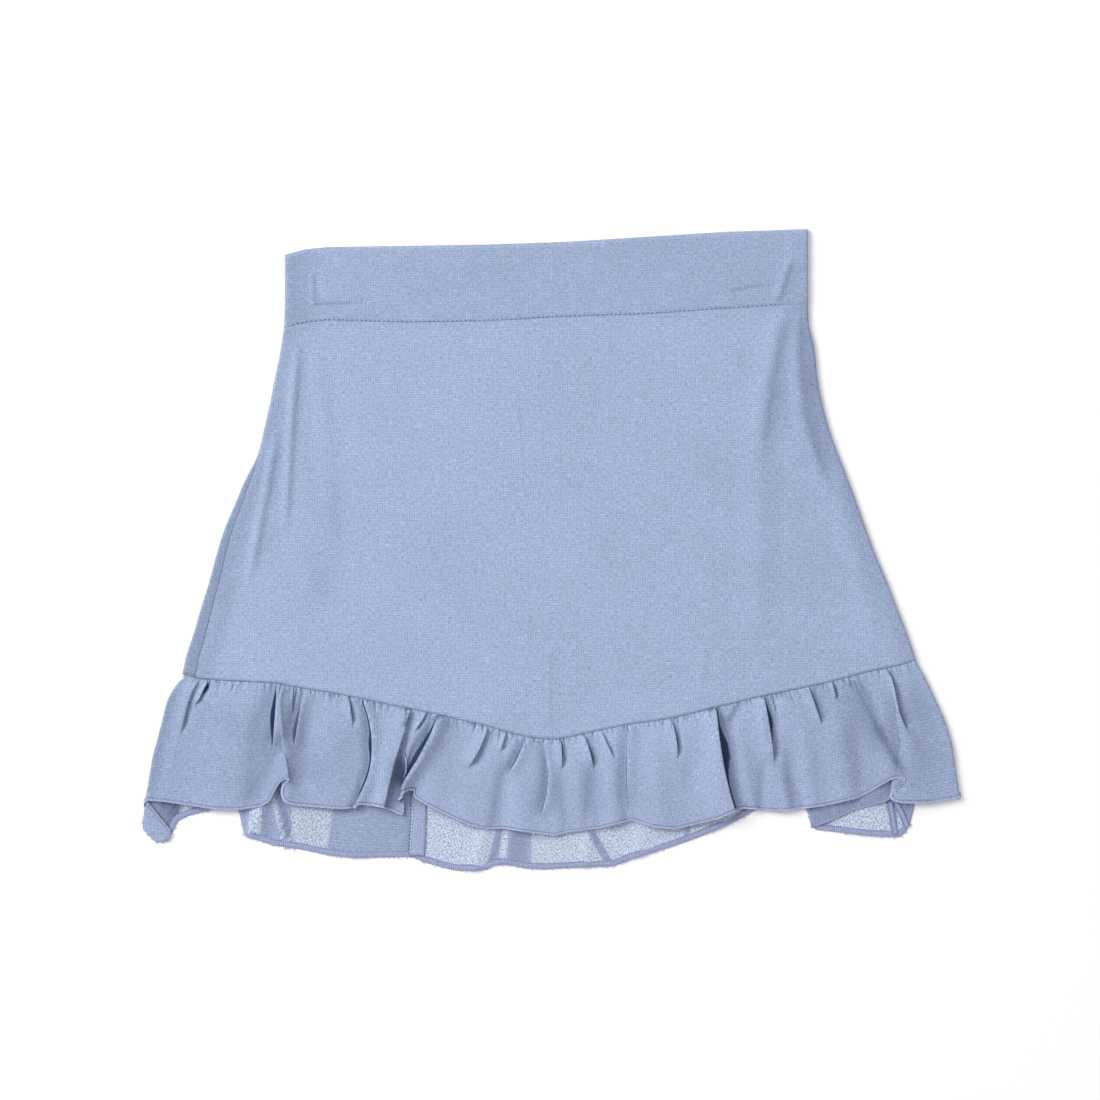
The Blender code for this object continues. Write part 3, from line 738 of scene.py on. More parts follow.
def stitch_line(name, shift, size, bow, material):
    """A thread in each stitch, moved along the seam and bowed up a little."""
    along = shift + size[0] * STITCH_RUN
    z = stitch_z + bow * (0.12 - 0.9 * STITCH_RUN**2)
    sew(name, stitch_x + along, stitch_y + stitch_slope * along, z, size, material)


waist_thread = thread("waist_thread", THREAD_BLUE)
stitch_line("waist_topstitch", 0.0, STITCH, 1.0, waist_thread)
# The needle holes are dark tubes of painted shadow.
needle_shadow = thread("needle_shadow", NEEDLE_SHADE_NAVY, 0.9)
stitch_line("waist_needle_shadows", STITCH_PITCH / 2, HOLE, 0.1, needle_shadow)


# --- Ruffle ---
# One long strip of the linen, gathered to the lower edge all the way round
# and pressed, so its gathers lie over as narrow pleats and part into dark slits.

# Place along the front's seam, and x and y of the hem below it.
FRONT_LINES = (
    (-242.2, -267.3, -165), (-234.3, -254.8, -166), (-221.8, -238.3, -168.3),
    (-208.6, -221.8, -170.9), (-195.4, -205.3, -171.3), (-186.8, -190.7, -169),
    (-184.1, -185.5, -165.7), (-182.8, -182.2, -159.1), (-181.5, -178.9, -153.1),
    (-180.5, -175.6, -150.5), (-179.5, -172.3, -151.5), (-178.2, -174.9, -152.8),
    (-176.9, -177.5, -155.8), (-175.6, -178.2, -160.4), (-173.6, -176.2, -165.3),
    (-170.9, -172.3, -167.3), (-165.7, -165.7, -168.6), (-153.8, -152.5, -169.6),
    (-139.3, -137.9, -170.6), (-128.7, -128.7, -170), (-126.1, -126.7, -167.6),
    (-118.1, -118.1, -168.3), (-107.6, -110.9, -169.6), (-101, -104.3, -172.3),
    (-96.4, -97.4, -174.9), (-93.7, -97, -170.3), (-90.4, -98.3, -164.3),
    (-86.5, -97, -159.7), (-82.5, -93.7, -158.4), (-78.5, -90.4, -158.1),
    (-75.2, -90.8, -161.7), (-72.6, -88.8, -164), (-65.3, -79.9, -169),
    (-56.8, -66.7, -175.6), (-46.9, -53.5, -181.5), (-38.9, -42.2, -184.1),
    (-30.4, -31.7, -183.5), (-20.5, -19.1, -185.5), (-0.7, 2.6, -188.4),
    (9.2, 11.2, -186.1), (29, 32.3, -183.5), (40.3, 43.6, -180.5), (50.2, 53.5, -178.2),
    (62, 68.6, -182.8), (75.2, 81.8, -184.1), (98.3, 110.2, -177.2), (108.2, 121.4, -171.9),
    (112.9, 126.7, -170.3), (139.9, 151.1, -172.3), (169.6, 180.2, -168.6),
    (192.1, 202.6, -163.3), (200.6, 211.2, -159.1), (207.2, 217.8, -154.8),
    (212.5, 224.4, -151.1), (217.1, 228.4, -150.3), (220.4, 233, -150.5),
    (222.4, 231, -153.8), (224.4, 227, -157.7), (226.4, 223.7, -161.7),
    (228.4, 224.1, -164.3), (231, 230.3, -166.7), (235.6, 250.1, -167),
    (240.9, 270.6, -163.3),
)
# The same for the back.
BACK_LINES = (
    (240.9, 270.6, -163.3), (233, 250.1, -160), (229, 241, -165), (226, 238.4, -174),
    (223, 236, -184), (218.4, 230, -189.6), (207.9, 210.5, -188.4), (188.1, 172.3, -184.1),
    (183.6, 169.3, -171), (164.3, 149.8, -166), (143.2, 133.3, -172.3), (130, 123, -178.2),
    (116.8, 112.9, -182.8), (101, 96, -189.8), (85.1, 78.5, -196), (66, 56.8, -202.6),
    (48.8, 40.3, -208.6), (27.1, 19.1, -209.2), (5.9, -4, -210.5), (-6, -17.2, -209.9),
    (-18.9, -31, -207), (-26, -37.6, -207.9), (-30, -42, -210.6), (-37.6, -50.2, -211.4),
    (-48, -63.4, -211.2), (-58.7, -73.3, -208.8), (-68, -83.2, -206), (-77, -89.8, -202.8),
    (-79.5, -93.5, -202.3), (-111.5, -131.3, -202.8), (-126, -149.2, -200.7),
    (-140, -163, -197.6), (-155, -183.5, -194.7), (-168.3, -193.4, -191.2),
    (-174, -200.3, -189.4), (-178, -203.6, -186), (-180, -204.4, -172.9),
    (-186, -211, -167), (-201.3, -227.7, -172.2), (-210, -238.9, -174.9),
    (-217.1, -246.2, -178.2), (-222.6, -250.5, -187), (-226, -253.8, -191.6),
    (-230, -260.5, -192.8), (-236, -268.4, -186), (-240.6, -270.6, -178.2),
    (-242.2, -269.4, -169),
)
# Share of the depth, and how far the left and right fold bow out there.
BOW = (
    (0, 0, 0), (0.1, -4, 1.8), (0.2, -6, 3.4), (0.45, -4.6, 6.4), (0.62, -4.2, 6),
    (0.85, -1.5, 2.2), (1, 0, 0),
)
BOW_ROUNDING = 0.04
BOW_REACH = 17.0
HEM_REACH = 0.6
INSET_REACH = 9.0
JOIN_SEAM_X = -78.8

# Each pressed gather: its place along the seam at its head, middle and foot,
# the depth shares of head and foot, which way it laps (1 to the right, -1 to
# the left), its height and how far it laps. Then the slit beside it: how wide
# at most and elsewhere, at which depth share it is widest and over what run,
# and how much shade is painted in it. Last, how far the gather rises on one
# side and runs out on the other, and how much shade it paints on the cloth there.
GATHERS = (
    (-233, -232.8, -233.4, 0.02, 0.46, 1, 0.6, 0.3, 0, 0, 0.5, 0.2, 0.4, 4, 3, 0.05),
    (-227, -227.2, -229, 0.01, 0.22, 1, 1.3, 0.5, 2.1, 0.1, 0.07, 0.04, 0.96, 3, 1.8, 0.05),
    (-180, -181.6, -183, 0, 0.62, -1, 3, 0.8, 2.3, 0.4, 0.27, 0.17, 0.99, 5, 6, 0.1),
    (-178, -179, -179.8, 0.72, 1.5, 1, 2.6, 1.2, 1.2, 0.5, 0.9, 0.3, 0.45, 4, 4, 0.05),
    (-170.2, -170.4, -170.6, 0.01, 0.24, 1, 0.7, 0.2, 0.3, 0.1, 0.1, 0.1, 0.45, 2.5, 2, 0.03),
    (-163, -166, -168.5, 0.03, 0.54, -1, 2, 0.5, 2.2, 0.2, 0.36, 0.14, 0.72, 5, 5, 0.08),
    (-133.5, -132.3, -131, 0.01, 0.26, 1, 1, 0.4, 0.7, 0.2, 0.1, 0.1, 0.72, 3, 2.5, 0.04),
    (-123.4, -116.8, -128, 0, 1.3, -1, 2, 1.2, 3, 1.5, 0.42, 0.1, 0.95, 5, 3.5, 0.05),
    (-92.8, -101.2, -107, 0.01, 1.3, 1, 2.2, 0.5, 9, 0.3, 0.8, 0.28, 0.34, 8, 6, 0),
    (-82.3, -84.6, -88, 0.01, 0.26, 1, 0.8, 0.3, 0.6, 0.2, 0.12, 0.1, 0.62, 2, 2, 0.03),
    (-73.1, -77.3, -90.4, 0, 1.3, -1, 6, 2, 5.6, 1, 0.58, 0.36, 0.93, 6, 5, 0.04),
    (-42, -46, -51.5, 0.02, 0.46, 1, 1.3, 0.4, 0.4, 0.1, 0.22, 0.12, 0.55, 4, 4.5, 0.12),
    (-29.8, -31.6, -33.2, 0.01, 0.22, 1, 1, 0.4, 0.4, 0.1, 0.08, 0.1, 0.45, 3, 2.5, 0.03),
    (-16.7, -22.1, -29.2, 0.03, 0.48, -1, 1.5, 0.6, 1.1, 0.2, 0.22, 0.14, 0.66, 4, 3, 0.05),
    (-5.4, -2.8, -11, 0.01, 0.9, -1, 1.3, 0.8, 0.8, 0.3, 0.55, 0.3, 0.5, 4, 4, 0.1),
    (5.9, 6.3, 5.9, 0.02, 0.32, 1, 1.4, 0.6, 1, 0.2, 0.14, 0.1, 0.68, 3, 3, 0.05),
    (21.8, 24.6, 26.6, 0.02, 0.38, 1, 1.5, 0.6, 1.4, 0.2, 0.24, 0.1, 0.66, 3.5, 5, 0.1),
    (33.1, 36.5, 40.5, 0.01, 0.33, 1, 0.7, 0.3, 0.3, 0.1, 0.1, 0.1, 0.34, 3, 2.5, 0.03),
    (51.4, 49, 49, 0.02, 0.98, -1, 1.4, 0.5, 0.8, 0.2, 0.55, 0.3, 0.34, 5, 5, 0.02),
    (79, 80.6, 80, 0.01, 0.38, 1, 1.3, 0.5, 0.9, 0.2, 0.22, 0.12, 0.74, 4, 2.5, 0.03),
    (108.2, 105.9, 107.6, 0, 1.3, 1, 5, 1, 5.3, 1.1, 0.42, 0.18, 0.95, 8, 5, 0.09),
    (139.8, 140.4, 140.2, 0, 0.6, 1, 2.4, 0.7, 2.7, 0.6, 0.22, 0.11, 0.92, 5, 5, 0.06),
    (145, 145.6, 146, 0.01, 0.18, 1, 0.8, 0.3, 0.3, 0.1, 0.08, 0.1, 0.35, 2.5, 2, 0.03),
    (169.6, 172, 174.6, 0, 0.34, 1, 1.6, 0.5, 1.1, 0.3, 0.16, 0.1, 0.64, 3.5, 6, 0.16),
    (184.9, 185.5, 185.9, 0, 0.16, 1, 1.2, 0.4, 0.8, 0.2, 0.07, 0.05, 0.7, 2.5, 2, 0.03),
    (200.2, 208.5, 219, 0.03, 0.82, -1, 1.5, 0, 1, 1, 0.5, 0.3, 0.08, 6, 9, 0.12),
    (221.5, 226.4, 231.6, 0.01, 0.5, 1, 1.6, 0.4, 1.2, 0.3, 0.15, 0.09, 0.78, 3.5, 5.5, 0.12),
)
DARK_COLUMN = 12
FOLLOWED = 0.3
TURN_OVER = 0.7
# Painted highlight on the lip of each gather.
LIP_HIGHLIGHT = 0.06
# Each valley: its place at head and foot, their depth shares, width and depth.
VALLEYS = (
    (-189.9, -189.5, 0.14, 1.3, 5, 1.6), (-162.5, -164.5, 0.1, 0.95, 6.5, 2),
    (-30.2, -33.6, 0.25, 1.3, 4, 1.3), (6.5, 9.3, 0.3, 1.3, 4.5, 1.2),
    (26, 24.4, 0.3, 1.3, 5.5, 1.9), (90.5, 85.8, 0.1, 0.8, 5, 1.2),
    (121.3, 111, 0, 0.45, 2.6, 1), (136, 126.9, 0.45, 1.3, 4, 1.2),
    (151.7, 152.5, 0.35, 1.3, 5, 1.6), (194, 197.6, 0.28, 1.3, 5.5, 1.5),
    (236.5, 235.1, 0.08, 0.62, 2.4, 0.8), (49, 49, 0.62, 1.3, 4.5, 1.6),
)
# Each swell: its place, width and height, and the depth share where it is full.
SWELLS = (
    (-207, 16, 1.2, 0.6), (-174, 4.5, 2.2, 0.4), (-143, 12, 1.6, 0.55), (-108, 8, 1.6, 0.6),
    (-66, 8, 1.8, 0.55), (-50, 9, 1.2, 0.8), (-20, 7, 1.4, 0.8), (40, 7, 1.4, 0.75),
    (66, 10, 1.8, 0.65), (97, 8, 1.6, 0.6), (120, 5, 1.6, 0.7), (145, 4, 1.2, 0.75),
    (162, 6, 1.4, 0.7), (184, 8, 1.6, 0.6), (214, 6, 2.2, 0.45), (232, 4, 1, 0.5),
)
# Painted shades of the front, with the panel's columns.
RUFFLE_SHADES = (
    (-179.5, -126, -197.5, -161.7, 7.5, 6, 0.19), (-166, -104, -160, -146, 5, 11, 0.15),
    (-249, -92, -264.5, -158, 7.5, 8, 0.21), (-214, -108, -206, -124, 8, 8, 0.07),
    (-173.6, -92.4, -172.3, -108.9, 4, 4, 0.12), (-185.5, -118, -189, -136, 4, 4, 0.16),
    (-172.9, -138.6, -164.3, -165, 4, 5, 0.12),
    (-128.4, -118.1, -155.1, -150.5, 8, 10, 0.08),
    (-73.9, -122.1, -77.2, -141.9, 4, 5, 0.05), (-82.2, -120, -84.6, -132, 1.8, 2.4, 0.4),
    (-93.5, -107.5, -96.5, -116, 1.6, 2, 0.45), (-97.5, -120, -99, -130, 3.5, 3.5, 0.05),
    (-98.4, -138, -101.6, -153, 4.8, 4.4, 0.6), (-95.6, -142, -98.8, -155, 2.8, 2.6, 0.5),
    (-96, -145, -98.6, -155, 2, 2.2, 0.5), (-31.9, -142.6, -38.5, -180.5, 4.5, 5.5, 0.16),
    (-4, -135.3, -6.6, -172.9, 1.8, 1.8, 0.13), (6.6, -125.4, 4, -165, 3, 3, 0.08),
    (24.9, -138.6, 28.7, -172.9, 6, 8, 0.16), (98, -114, 98, -140, 5, 5, 0.12),
    (141.5, -108, 143, -126, 2.2, 2.5, 0.18), (145.9, -135.3, 163, -169, 4, 6, 0.14),
    (123.8, -101, 117.2, -112.2, 2, 2.5, 0.36), (232, -151, 227.6, -157, 2.2, 2.2, 0.3),
    (202.5, -86, 216.5, -119, 3.2, 3.8, 0.34), (216.5, -119, 231, -145, 3.8, 3, 0.4),
    (219, -131, 231, -146, 9, 3, 0.12), (231.5, -106.9, 245, -138, 3, 5, 0.11),
    (189.4, -122.1, 198.7, -150.5, 6, 7, 0.04), (-240, -100, -250, -160, 34, 34, 0.1),
    (-165, -100, -165, -160, 60, 60, 0.08), (225, -90, 240, -160, 60, 60, 0.1),
)
PUFF = 2.4
RUFFLE_LIFT = 0.8
RUFFLE_SHADE = 0.915
PUCKER_PITCH = 5.6
PUCKER_SEED = 11
PUCKER_WIDTH = 0.52
RUFFLE_ROWS = 35
HEAD_ROWS = 12
HEAD_SHARE = 0.17
RUFFLE_BACK_STEP = 2.4
COARSE_STEP = 1.25
PROBES = 6000
PUCKER_STEP = 0.42
PUCKER_REACH = 1.1
FINE_STEP = 0.28
FINE_REACH = 2.8
HEM_TURNS = ((-184.0, -169.0), (-84.0, -70.0), (206.0, 224.0))
HEM_TURN_STEP = 0.6
FIRST_X = FRONT_SEAM[0][0]
LAST_X = FRONT_SEAM[-1][0]


def uneven_puckers():
    """The small gathers at the seam: place, lean, reach and depth of each."""
    chance = np.random.default_rng(PUCKER_SEED)
    count = int((LAST_X - FIRST_X) / PUCKER_PITCH)
    place = FIRST_X + (np.arange(count) + 0.5) * PUCKER_PITCH
    place = place + chance.uniform(-2.0, 2.0, count)
    lean = 9.0 * np.tanh(place / 60.0) + chance.normal(0.0, 11.0, count)
    reach = chance.uniform(0.07, 0.19, count) * chance.choice([1.0, 1.0, 1.5], count)
    depth = chance.uniform(0.35, 1.0, count)
    return place, lean, reach, depth


def gather_path(row, depth):
    """Place along the seam of a gather's line at a depth share, and its fade.

    The line bends evenly through its head, middle and foot. The fade is 1 along
    it, and runs out over its last quarter unless it reaches the hem.
    """
    head_share, foot_share = row[3:5]
    along = (depth - head_share) / (min(foot_share, 1.0) - head_share)
    curve = np.polyfit((0.0, 0.5, 1.0), row[:3], 2)
    run_out = 0.25 * (foot_share - head_share)
    fade = window(depth, head_share - 0.02, 0.06, foot_share, run_out)
    return np.polyval(curve, np.clip(along, 0.0, 1.2)), fade


def follow(places, depth):
    """Places along the seam moved with the gathers, a row for each depth share.

    Each column of the mesh keeps between the lines of the same two gathers all
    the way down, so a slit's edges run along columns.
    """
    followed = [row for row in GATHERS if row[DARK_COLUMN] > FOLLOWED]
    heads = [FIRST_X, *(row[0] for row in followed), LAST_X]
    lines = [np.full_like(depth, FIRST_X)]
    for row in followed:
        lines.append(gather_path(row, np.clip(depth, row[3], min(row[4], 1.0)))[0])
    lines.append(np.full_like(depth, LAST_X))
    anchors = np.maximum.accumulate(np.concatenate(lines, axis=1), axis=1)
    return np.stack([np.interp(places, heads, at) for at in anchors])


def ruffle_relief(seam_x, depth):
    """Height, sideways lap and shade of the ruffle's front over its plan.

    Each gather rises towards its line on one side, tips over it by its lap and
    drops beside it into a slit that runs out on the other side. Valleys and
    swells are bells across the strip, and puckers are short ones at the seam.
    The shade is painted shade, dark in each slit and softer beside it, a little
    in valleys and puckers, with a painted highlight on each gather's lip.
    """
    puff = PUFF * np.sin(np.pi * np.clip(depth, 0.0, 1.0) ** 0.6 * 0.92)
    height = puff + np.zeros(np.broadcast(seam_x, depth).shape)
    lap = np.zeros_like(height)
    light = np.ones_like(height)
    for middle, width, tall, top_share in SWELLS:
        height = height + tall * ease(depth / top_share) * bell(seam_x - middle, width)
    for head_x, foot_x, head_share, foot_share, width, deep in VALLEYS:
        along = (depth - head_share) / (min(foot_share, 1.0) - head_share)
        middle = between(np.clip(along, 0.0, 1.0), head_x, foot_x)
        fade = window(depth, head_share, 0.25, foot_share, 0.25)
        dip = fade * bell(seam_x - middle, width)
        height = height - deep * dip
        light = light * (1.0 - 0.05 * dip)
    sunk = np.zeros_like(height)
    for row in GATHERS:
        line, fade = gather_path(row, depth)
        way, tall, over, slit, base, widest, run, dark, rise_run, fall_run, beside_shade = row[5:]
        across = way * (seam_x - line)
        opening = between(bell(depth - widest, run), base, slit)
        past = across - TURN_OVER - fade * opening
        over_line = 1.0 - ease(across / TURN_OVER)
        top = np.where(across < 0, bell(np.minimum(across, 0.0), rise_run), over_line)
        height = height + tall * fade * top
        beyond = np.maximum(past, 0.0)
        sunk = np.maximum(sunk, fade * ease(across / TURN_OVER) * bell(beyond, fall_run))
        tipped = 0.9 * bell(across + 0.1, 0.55) - 0.5 * bell(across - TURN_OVER, 0.55)
        lap = lap + way * fade * over * tipped
        inside = ease((across - 0.25) / 0.35) * (1.0 - ease((past + 0.25) / 0.5))
        light = light * (1.0 - dark * ease(2.0 * fade) * inside)
        near = ease(across / 0.5) * (1.0 - inside) * bell(beyond, 1.5 * fall_run)
        light = light * (1.0 - beside_shade * fade * near)
        # Painted highlight on the gather's lip.
        lip = bell(across + 0.7, 0.6) * min(1.0, tall / 2.0)
        light = light * (1.0 + LIP_HIGHLIGHT * fade * lip)
    height = np.maximum(height, 0.0) * (1.0 - 0.9 * sunk)
    for at, slope, far, strong in zip(*uneven_puckers()):
        fade = ease(depth / 0.012) * (1.0 - ease(depth / far))
        across = seam_x - at - slope * depth
        pinch = bell(across, PUCKER_WIDTH)
        height = height + strong * fade * (0.8 * bell(across - 2.1, 1.4) - pinch)
        light = light * (1.0 - 0.55 * strong * fade * pinch)
    return height, lap, light


def ruffle_plan(seam_x, depth, seam_line, lines):
    """Plan of the ruffle between its seam and its hem, drawn in at the folds."""
    hem_x, hem_y = read_table(seam_x, lines, HEM_REACH)
    left, right = read_table(depth, BOW, BOW_ROUNDING)
    to_left, to_right = FIRST_X - seam_x, seam_x - LAST_X
    inset = FOLD_OUTER + FOLD_RADIUS
    shift = inset * (np.exp(to_left / INSET_REACH) - np.exp(to_right / INSET_REACH))
    bow = left * np.exp(to_left / BOW_REACH) + right * np.exp(to_right / BOW_REACH)
    x = seam_x + shift + depth * (hem_x - seam_x) + bow * ease(depth / 0.08)
    return x, between(depth, seam_line(seam_x + shift), hem_y)


def ruffle_front(seam_x, depth):
    """x, y, z and shade of the ruffle's front at places and depth shares."""
    x, y = ruffle_plan(seam_x, depth, front_seam, FRONT_LINES)
    height, lap, light = ruffle_relief(seam_x, depth)
    rest = FRONT_Z - 0.25 + RUFFLE_LIFT * ease(depth / 0.5)
    from_fold = np.minimum(seam_x - FIRST_X, LAST_X - seam_x)
    near = 1.0 - ease(from_fold / FOLD_EASE)
    level = ease((from_fold - 1.0) / 8.0)
    z = np.maximum(rest, between(near, rest, CREST)) + height * level * ease(depth / 0.02)
    light = light * RUFFLE_SHADE * soft_shades(x, y, RUFFLE_SHADES)
    return x + lap * level, y, z, light


# Each wave of the ruffle's back: its place at head and foot, width and height.
BACK_WAVES = (
    (-160, -174, 4, 1.4), (-98, -110, 12, 0.8), (-30, -38, 4, 1.2), (-12, -20, 4, 1),
    (34, 30, 4, 1.2), (70, 68, 7, 0.9), (120, 116, 8, 0.9), (206, 206, 7, 0.7),
)


def ruffle_back(seam_x, depth):
    """x, y, z and shade of the ruffle's back, which lies on the table."""
    x, y = ruffle_plan(seam_x, depth, back_seam, BACK_LINES)
    rise = np.zeros(np.broadcast(seam_x, depth).shape)
    for head_x, foot_x, width, tall in BACK_WAVES:
        rise += tall * bell(seam_x - between(depth, head_x, foot_x), width)
    from_fold = np.minimum(seam_x - FIRST_X, LAST_X - seam_x)
    z = BACK_Z + rise * ease(from_fold / 12.0) * ease(depth / 0.5)
    return x, y, z, np.full_like(z, RUFFLE_SHADE)


def ruffle_turn(before, after, side):
    """The half round of cloth at a fold, between the grids before and after it."""
    turn = np.linspace(0.0, np.pi, FOLD_STEPS)[None, 1:-1]
    even, eased = turn / np.pi, 0.5 - 0.5 * np.cos(turn)
    x, y, z, light = (
        between(share, last[:, -1:], first[:, :1])
        for share, last, first in zip((even, even, eased, even), before, after)
    )
    return x + side * FOLD_RADIUS * np.sin(turn), y, z, light


def fine_places():
    """Places along the seam, close together beside every gather and pucker."""
    probe = np.linspace(FIRST_X, LAST_X, PROBES)
    step = np.full_like(probe, COARSE_STEP)
    for low, high in HEM_TURNS:
        step = np.where((probe > low) & (probe < high), HEM_TURN_STEP, step)
    for place in uneven_puckers()[0]:
        step = np.where(np.abs(probe - place) < PUCKER_REACH, PUCKER_STEP, step)
    for row in GATHERS:
        step = np.where(np.abs(probe - row[0]) < FINE_REACH, FINE_STEP, step)
    total = np.concatenate([[0.0], np.cumsum(np.diff(probe) / step[1:])])
    return np.interp(np.linspace(0.0, total[-1], int(total[-1])), total, probe)


def ring(depth, places):
    """The whole ruffle from its join on the back, round both folds and back.

    Gives grids of x, y, z, shade and length along the strip, and for each
    column whether it is on the back, from 0 to 1 round a fold.
    """
    left_steps = int((JOIN_SEAM_X - FIRST_X) / RUFFLE_BACK_STEP)
    right_steps = int((LAST_X - JOIN_SEAM_X) / RUFFLE_BACK_STEP)
    left_places = np.linspace(JOIN_SEAM_X - SEAM_HALF_GAP, FIRST_X, left_steps)[None]
    right_places = np.linspace(LAST_X, JOIN_SEAM_X + SEAM_HALF_GAP, right_steps)[None]
    front_places = follow(places, depth)
    left_back = ruffle_back(left_places, depth)
    front = ruffle_front(front_places, depth)
    right_back = ruffle_back(right_places, depth)
    left_turn = ruffle_turn(left_back, front, -1.0)
    right_turn = ruffle_turn(front, right_back, 1.0)
    turn_run = 2 * QUARTER * np.linspace(0.0, 1.0, FOLD_STEPS)[None, 1:-1]
    front_start = JOIN_SEAM_X - 2 * FIRST_X + 4.0
    lengths = (
        JOIN_SEAM_X - left_places,
        JOIN_SEAM_X - FIRST_X + turn_run,
        front_start + front_places,
        front_start + LAST_X + turn_run,
        front_start + 2 * LAST_X + 4.0 - right_places,
    )
    stretches = (left_back, left_turn, front, right_turn, right_back)
    parts = [*zip(*stretches), [grid + 0.0 * depth for grid in lengths]]
    x, y, z, light, along = (np.concatenate(part, axis=1) for part in parts)
    round_fold = np.linspace(1.0, 0.0, FOLD_STEPS)[1:-1]
    stretch_on_back = (
        np.ones(left_steps), round_fold, np.zeros(len(places)), round_fold[::-1],
        np.ones(right_steps),
    )
    return x, y, z, light, along, np.concatenate(stretch_on_back)


# Where the back of the ruffle lies single on the table, seen below the front
# hem: the left and right edge of each stretch high up and low down.
SINGLE_TOP_Y = -168.0
SINGLE_FOOT_Y = -205.0
SINGLE = (
    (-244.8, -237.2, -246.5, -238), (-198.2, -190.2, -202, -193.6),
    (-183.9, -181.1, -174.6, -170.2), (-171.4, -143.2, -171.2, -148.4),
    (-82.2, -32, -82.9, -41.6), (-31, -27, -34.4, -29.4), (-13.2, 15, -13.2, 34.4),
    (19.5, 92, 40, 84), (91.7, 124.7, 91.7, 124.7), (183, 221, 186, 227),
    (227.2, 229.6, 230.4, 236),
)
# Each band of painted shade on the back: x and y at its top and foot, its width and how dark
# it is.
BACK_BANDS = (
    (-31.7, -184.8, -40.3, -207.9, 2.6, 0.2), (25.7, -184.8, 37, -204.6, 2.8, 0.2),
    (-19, -184, -21, -207, 4.5, 0.12), (-188.4, -170, -188, -192, 2.8, 0.22),
    (-178.6, -163, -172.4, -194, 2.5, 0.44), (-158, -168, -160, -205, 12, 0.13),
    (-146, -170, -146, -200, 1.2, 0.1), (-96, -172, -94.5, -202, 2.2, 0.1),
    (-255, -164, -248.5, -181, 7, 0.5), (-246.6, -171, -244.6, -180, 1.8, 0.7),
    (236, -166, 235, -190, 4.5, 0.12),
)
RUFFLE_DEPTH = 74.0
RUFFLE_WALL = 0.4


def back_marks(x, y, on_back):
    """How single and how shaded the back of the ruffle is at each point.

    Single is a half at the edge of a stretch and rises by a quarter with each
    millimetre inwards, so that its edge stays sharp between points.
    """
    low = (SINGLE_TOP_Y - y) / (SINGLE_TOP_Y - SINGLE_FOOT_Y)
    inwards = np.full_like(x, -9.0)
    for left_top, right_top, left_foot, right_foot in SINGLE:
        left = between(low, left_top, left_foot)
        right = between(low, right_top, right_foot)
        inwards = np.maximum(inwards, np.minimum(x - left, right - x))
    single = np.clip(0.5 + inwards / 4.0, 0.0, 1.0)
    shade = np.ones_like(x)
    for x_top, y_top, x_foot, y_foot, width, dark in BACK_BANDS:
        along = (y_top - y) / (y_top - y_foot)
        band = ease((1.6 - along) / 0.4) * bell(x - between(along, x_top, x_foot), width)
        shade *= 1.0 - dark * on_back * band
    # Painted shade where the back lies double rather than single.
    doubled_shade = on_back * (1.0 - ease(single))
    return single * (on_back > 0.5), shade * (1.0 - 0.12 * doubled_shade)


ruffle_linen = linen("ruffle_linen", LINEN_BLUE, gathered=True)
head_shares = np.linspace(0.0, HEAD_SHARE, HEAD_ROWS)[:-1]
lower_shares = np.linspace(HEAD_SHARE, 1.0, RUFFLE_ROWS - HEAD_ROWS + 1)
ruffle_shares = np.concatenate([head_shares, lower_shares])[:, None]
ruffle_x, ruffle_y, ruffle_z, ruffle_light, ruffle_along, ruffle_on_back = ring(
    ruffle_shares, fine_places()
)
hem_run = np.maximum(np.abs(np.diff(ruffle_x[-1])), 0.1)
hem_run = np.concatenate([[0.0], np.cumsum(hem_run)])
ruffle_weave = np.interp(ruffle_along, ruffle_along[-1], hem_run)
ruffle_single, ruffle_shade = back_marks(ruffle_x, ruffle_y, ruffle_on_back)
ruffle_cloth = add_cloth(
    "ruffle_cloth",
    (ruffle_x, ruffle_y, ruffle_z, ruffle_weave, -RUFFLE_DEPTH * ruffle_shares),
    ruffle_linen,
    RUFFLE_WALL,
    ruffle_light * ruffle_shade,
    ruffle_single,
)
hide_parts("ruffle")


# --- Inner edge of the deep pleat ---
# Inside the deepest gap of the ruffle a further pleat shows only its edge, a
# pale curved line of folded linen.
# Points along the pleat's edge, and its half width at each.
INNER_PLEAT = (
    (-100.2, -127.5), (-97.8, -132), (-95.8, -137), (-95.2, -142), (-95.6, -146.5),
    (-97.2, -150.2),
)
PLEAT_HALF = 0.5 * np.array([0.4, 0.8, 1.0, 1.0, 0.8, 0.4])
PLEAT_LIFT = 0.35
PLEAT_REACH = 1.4
PLEAT_SIDES = 8

on_front = ruffle_on_back < 0.5
pleat_x, pleat_y = np.array(INNER_PLEAT).T[:, :, None, None]
pleat_far = np.hypot(ruffle_x[:, on_front] - pleat_x, ruffle_y[:, on_front] - pleat_y)
pleat_z = np.where(pleat_far < PLEAT_REACH, ruffle_z[:, on_front], 0.0).max(axis=(1, 2))
add_tubes(
    "inner_pleat_edge",
    np.column_stack([INNER_PLEAT, pleat_z + PLEAT_LIFT])[None],
    PLEAT_HALF,
    PLEAT_HALF,
    PLEAT_SIDES,
    thread("folded_linen", LINEN_BLUE, 0.85),
)


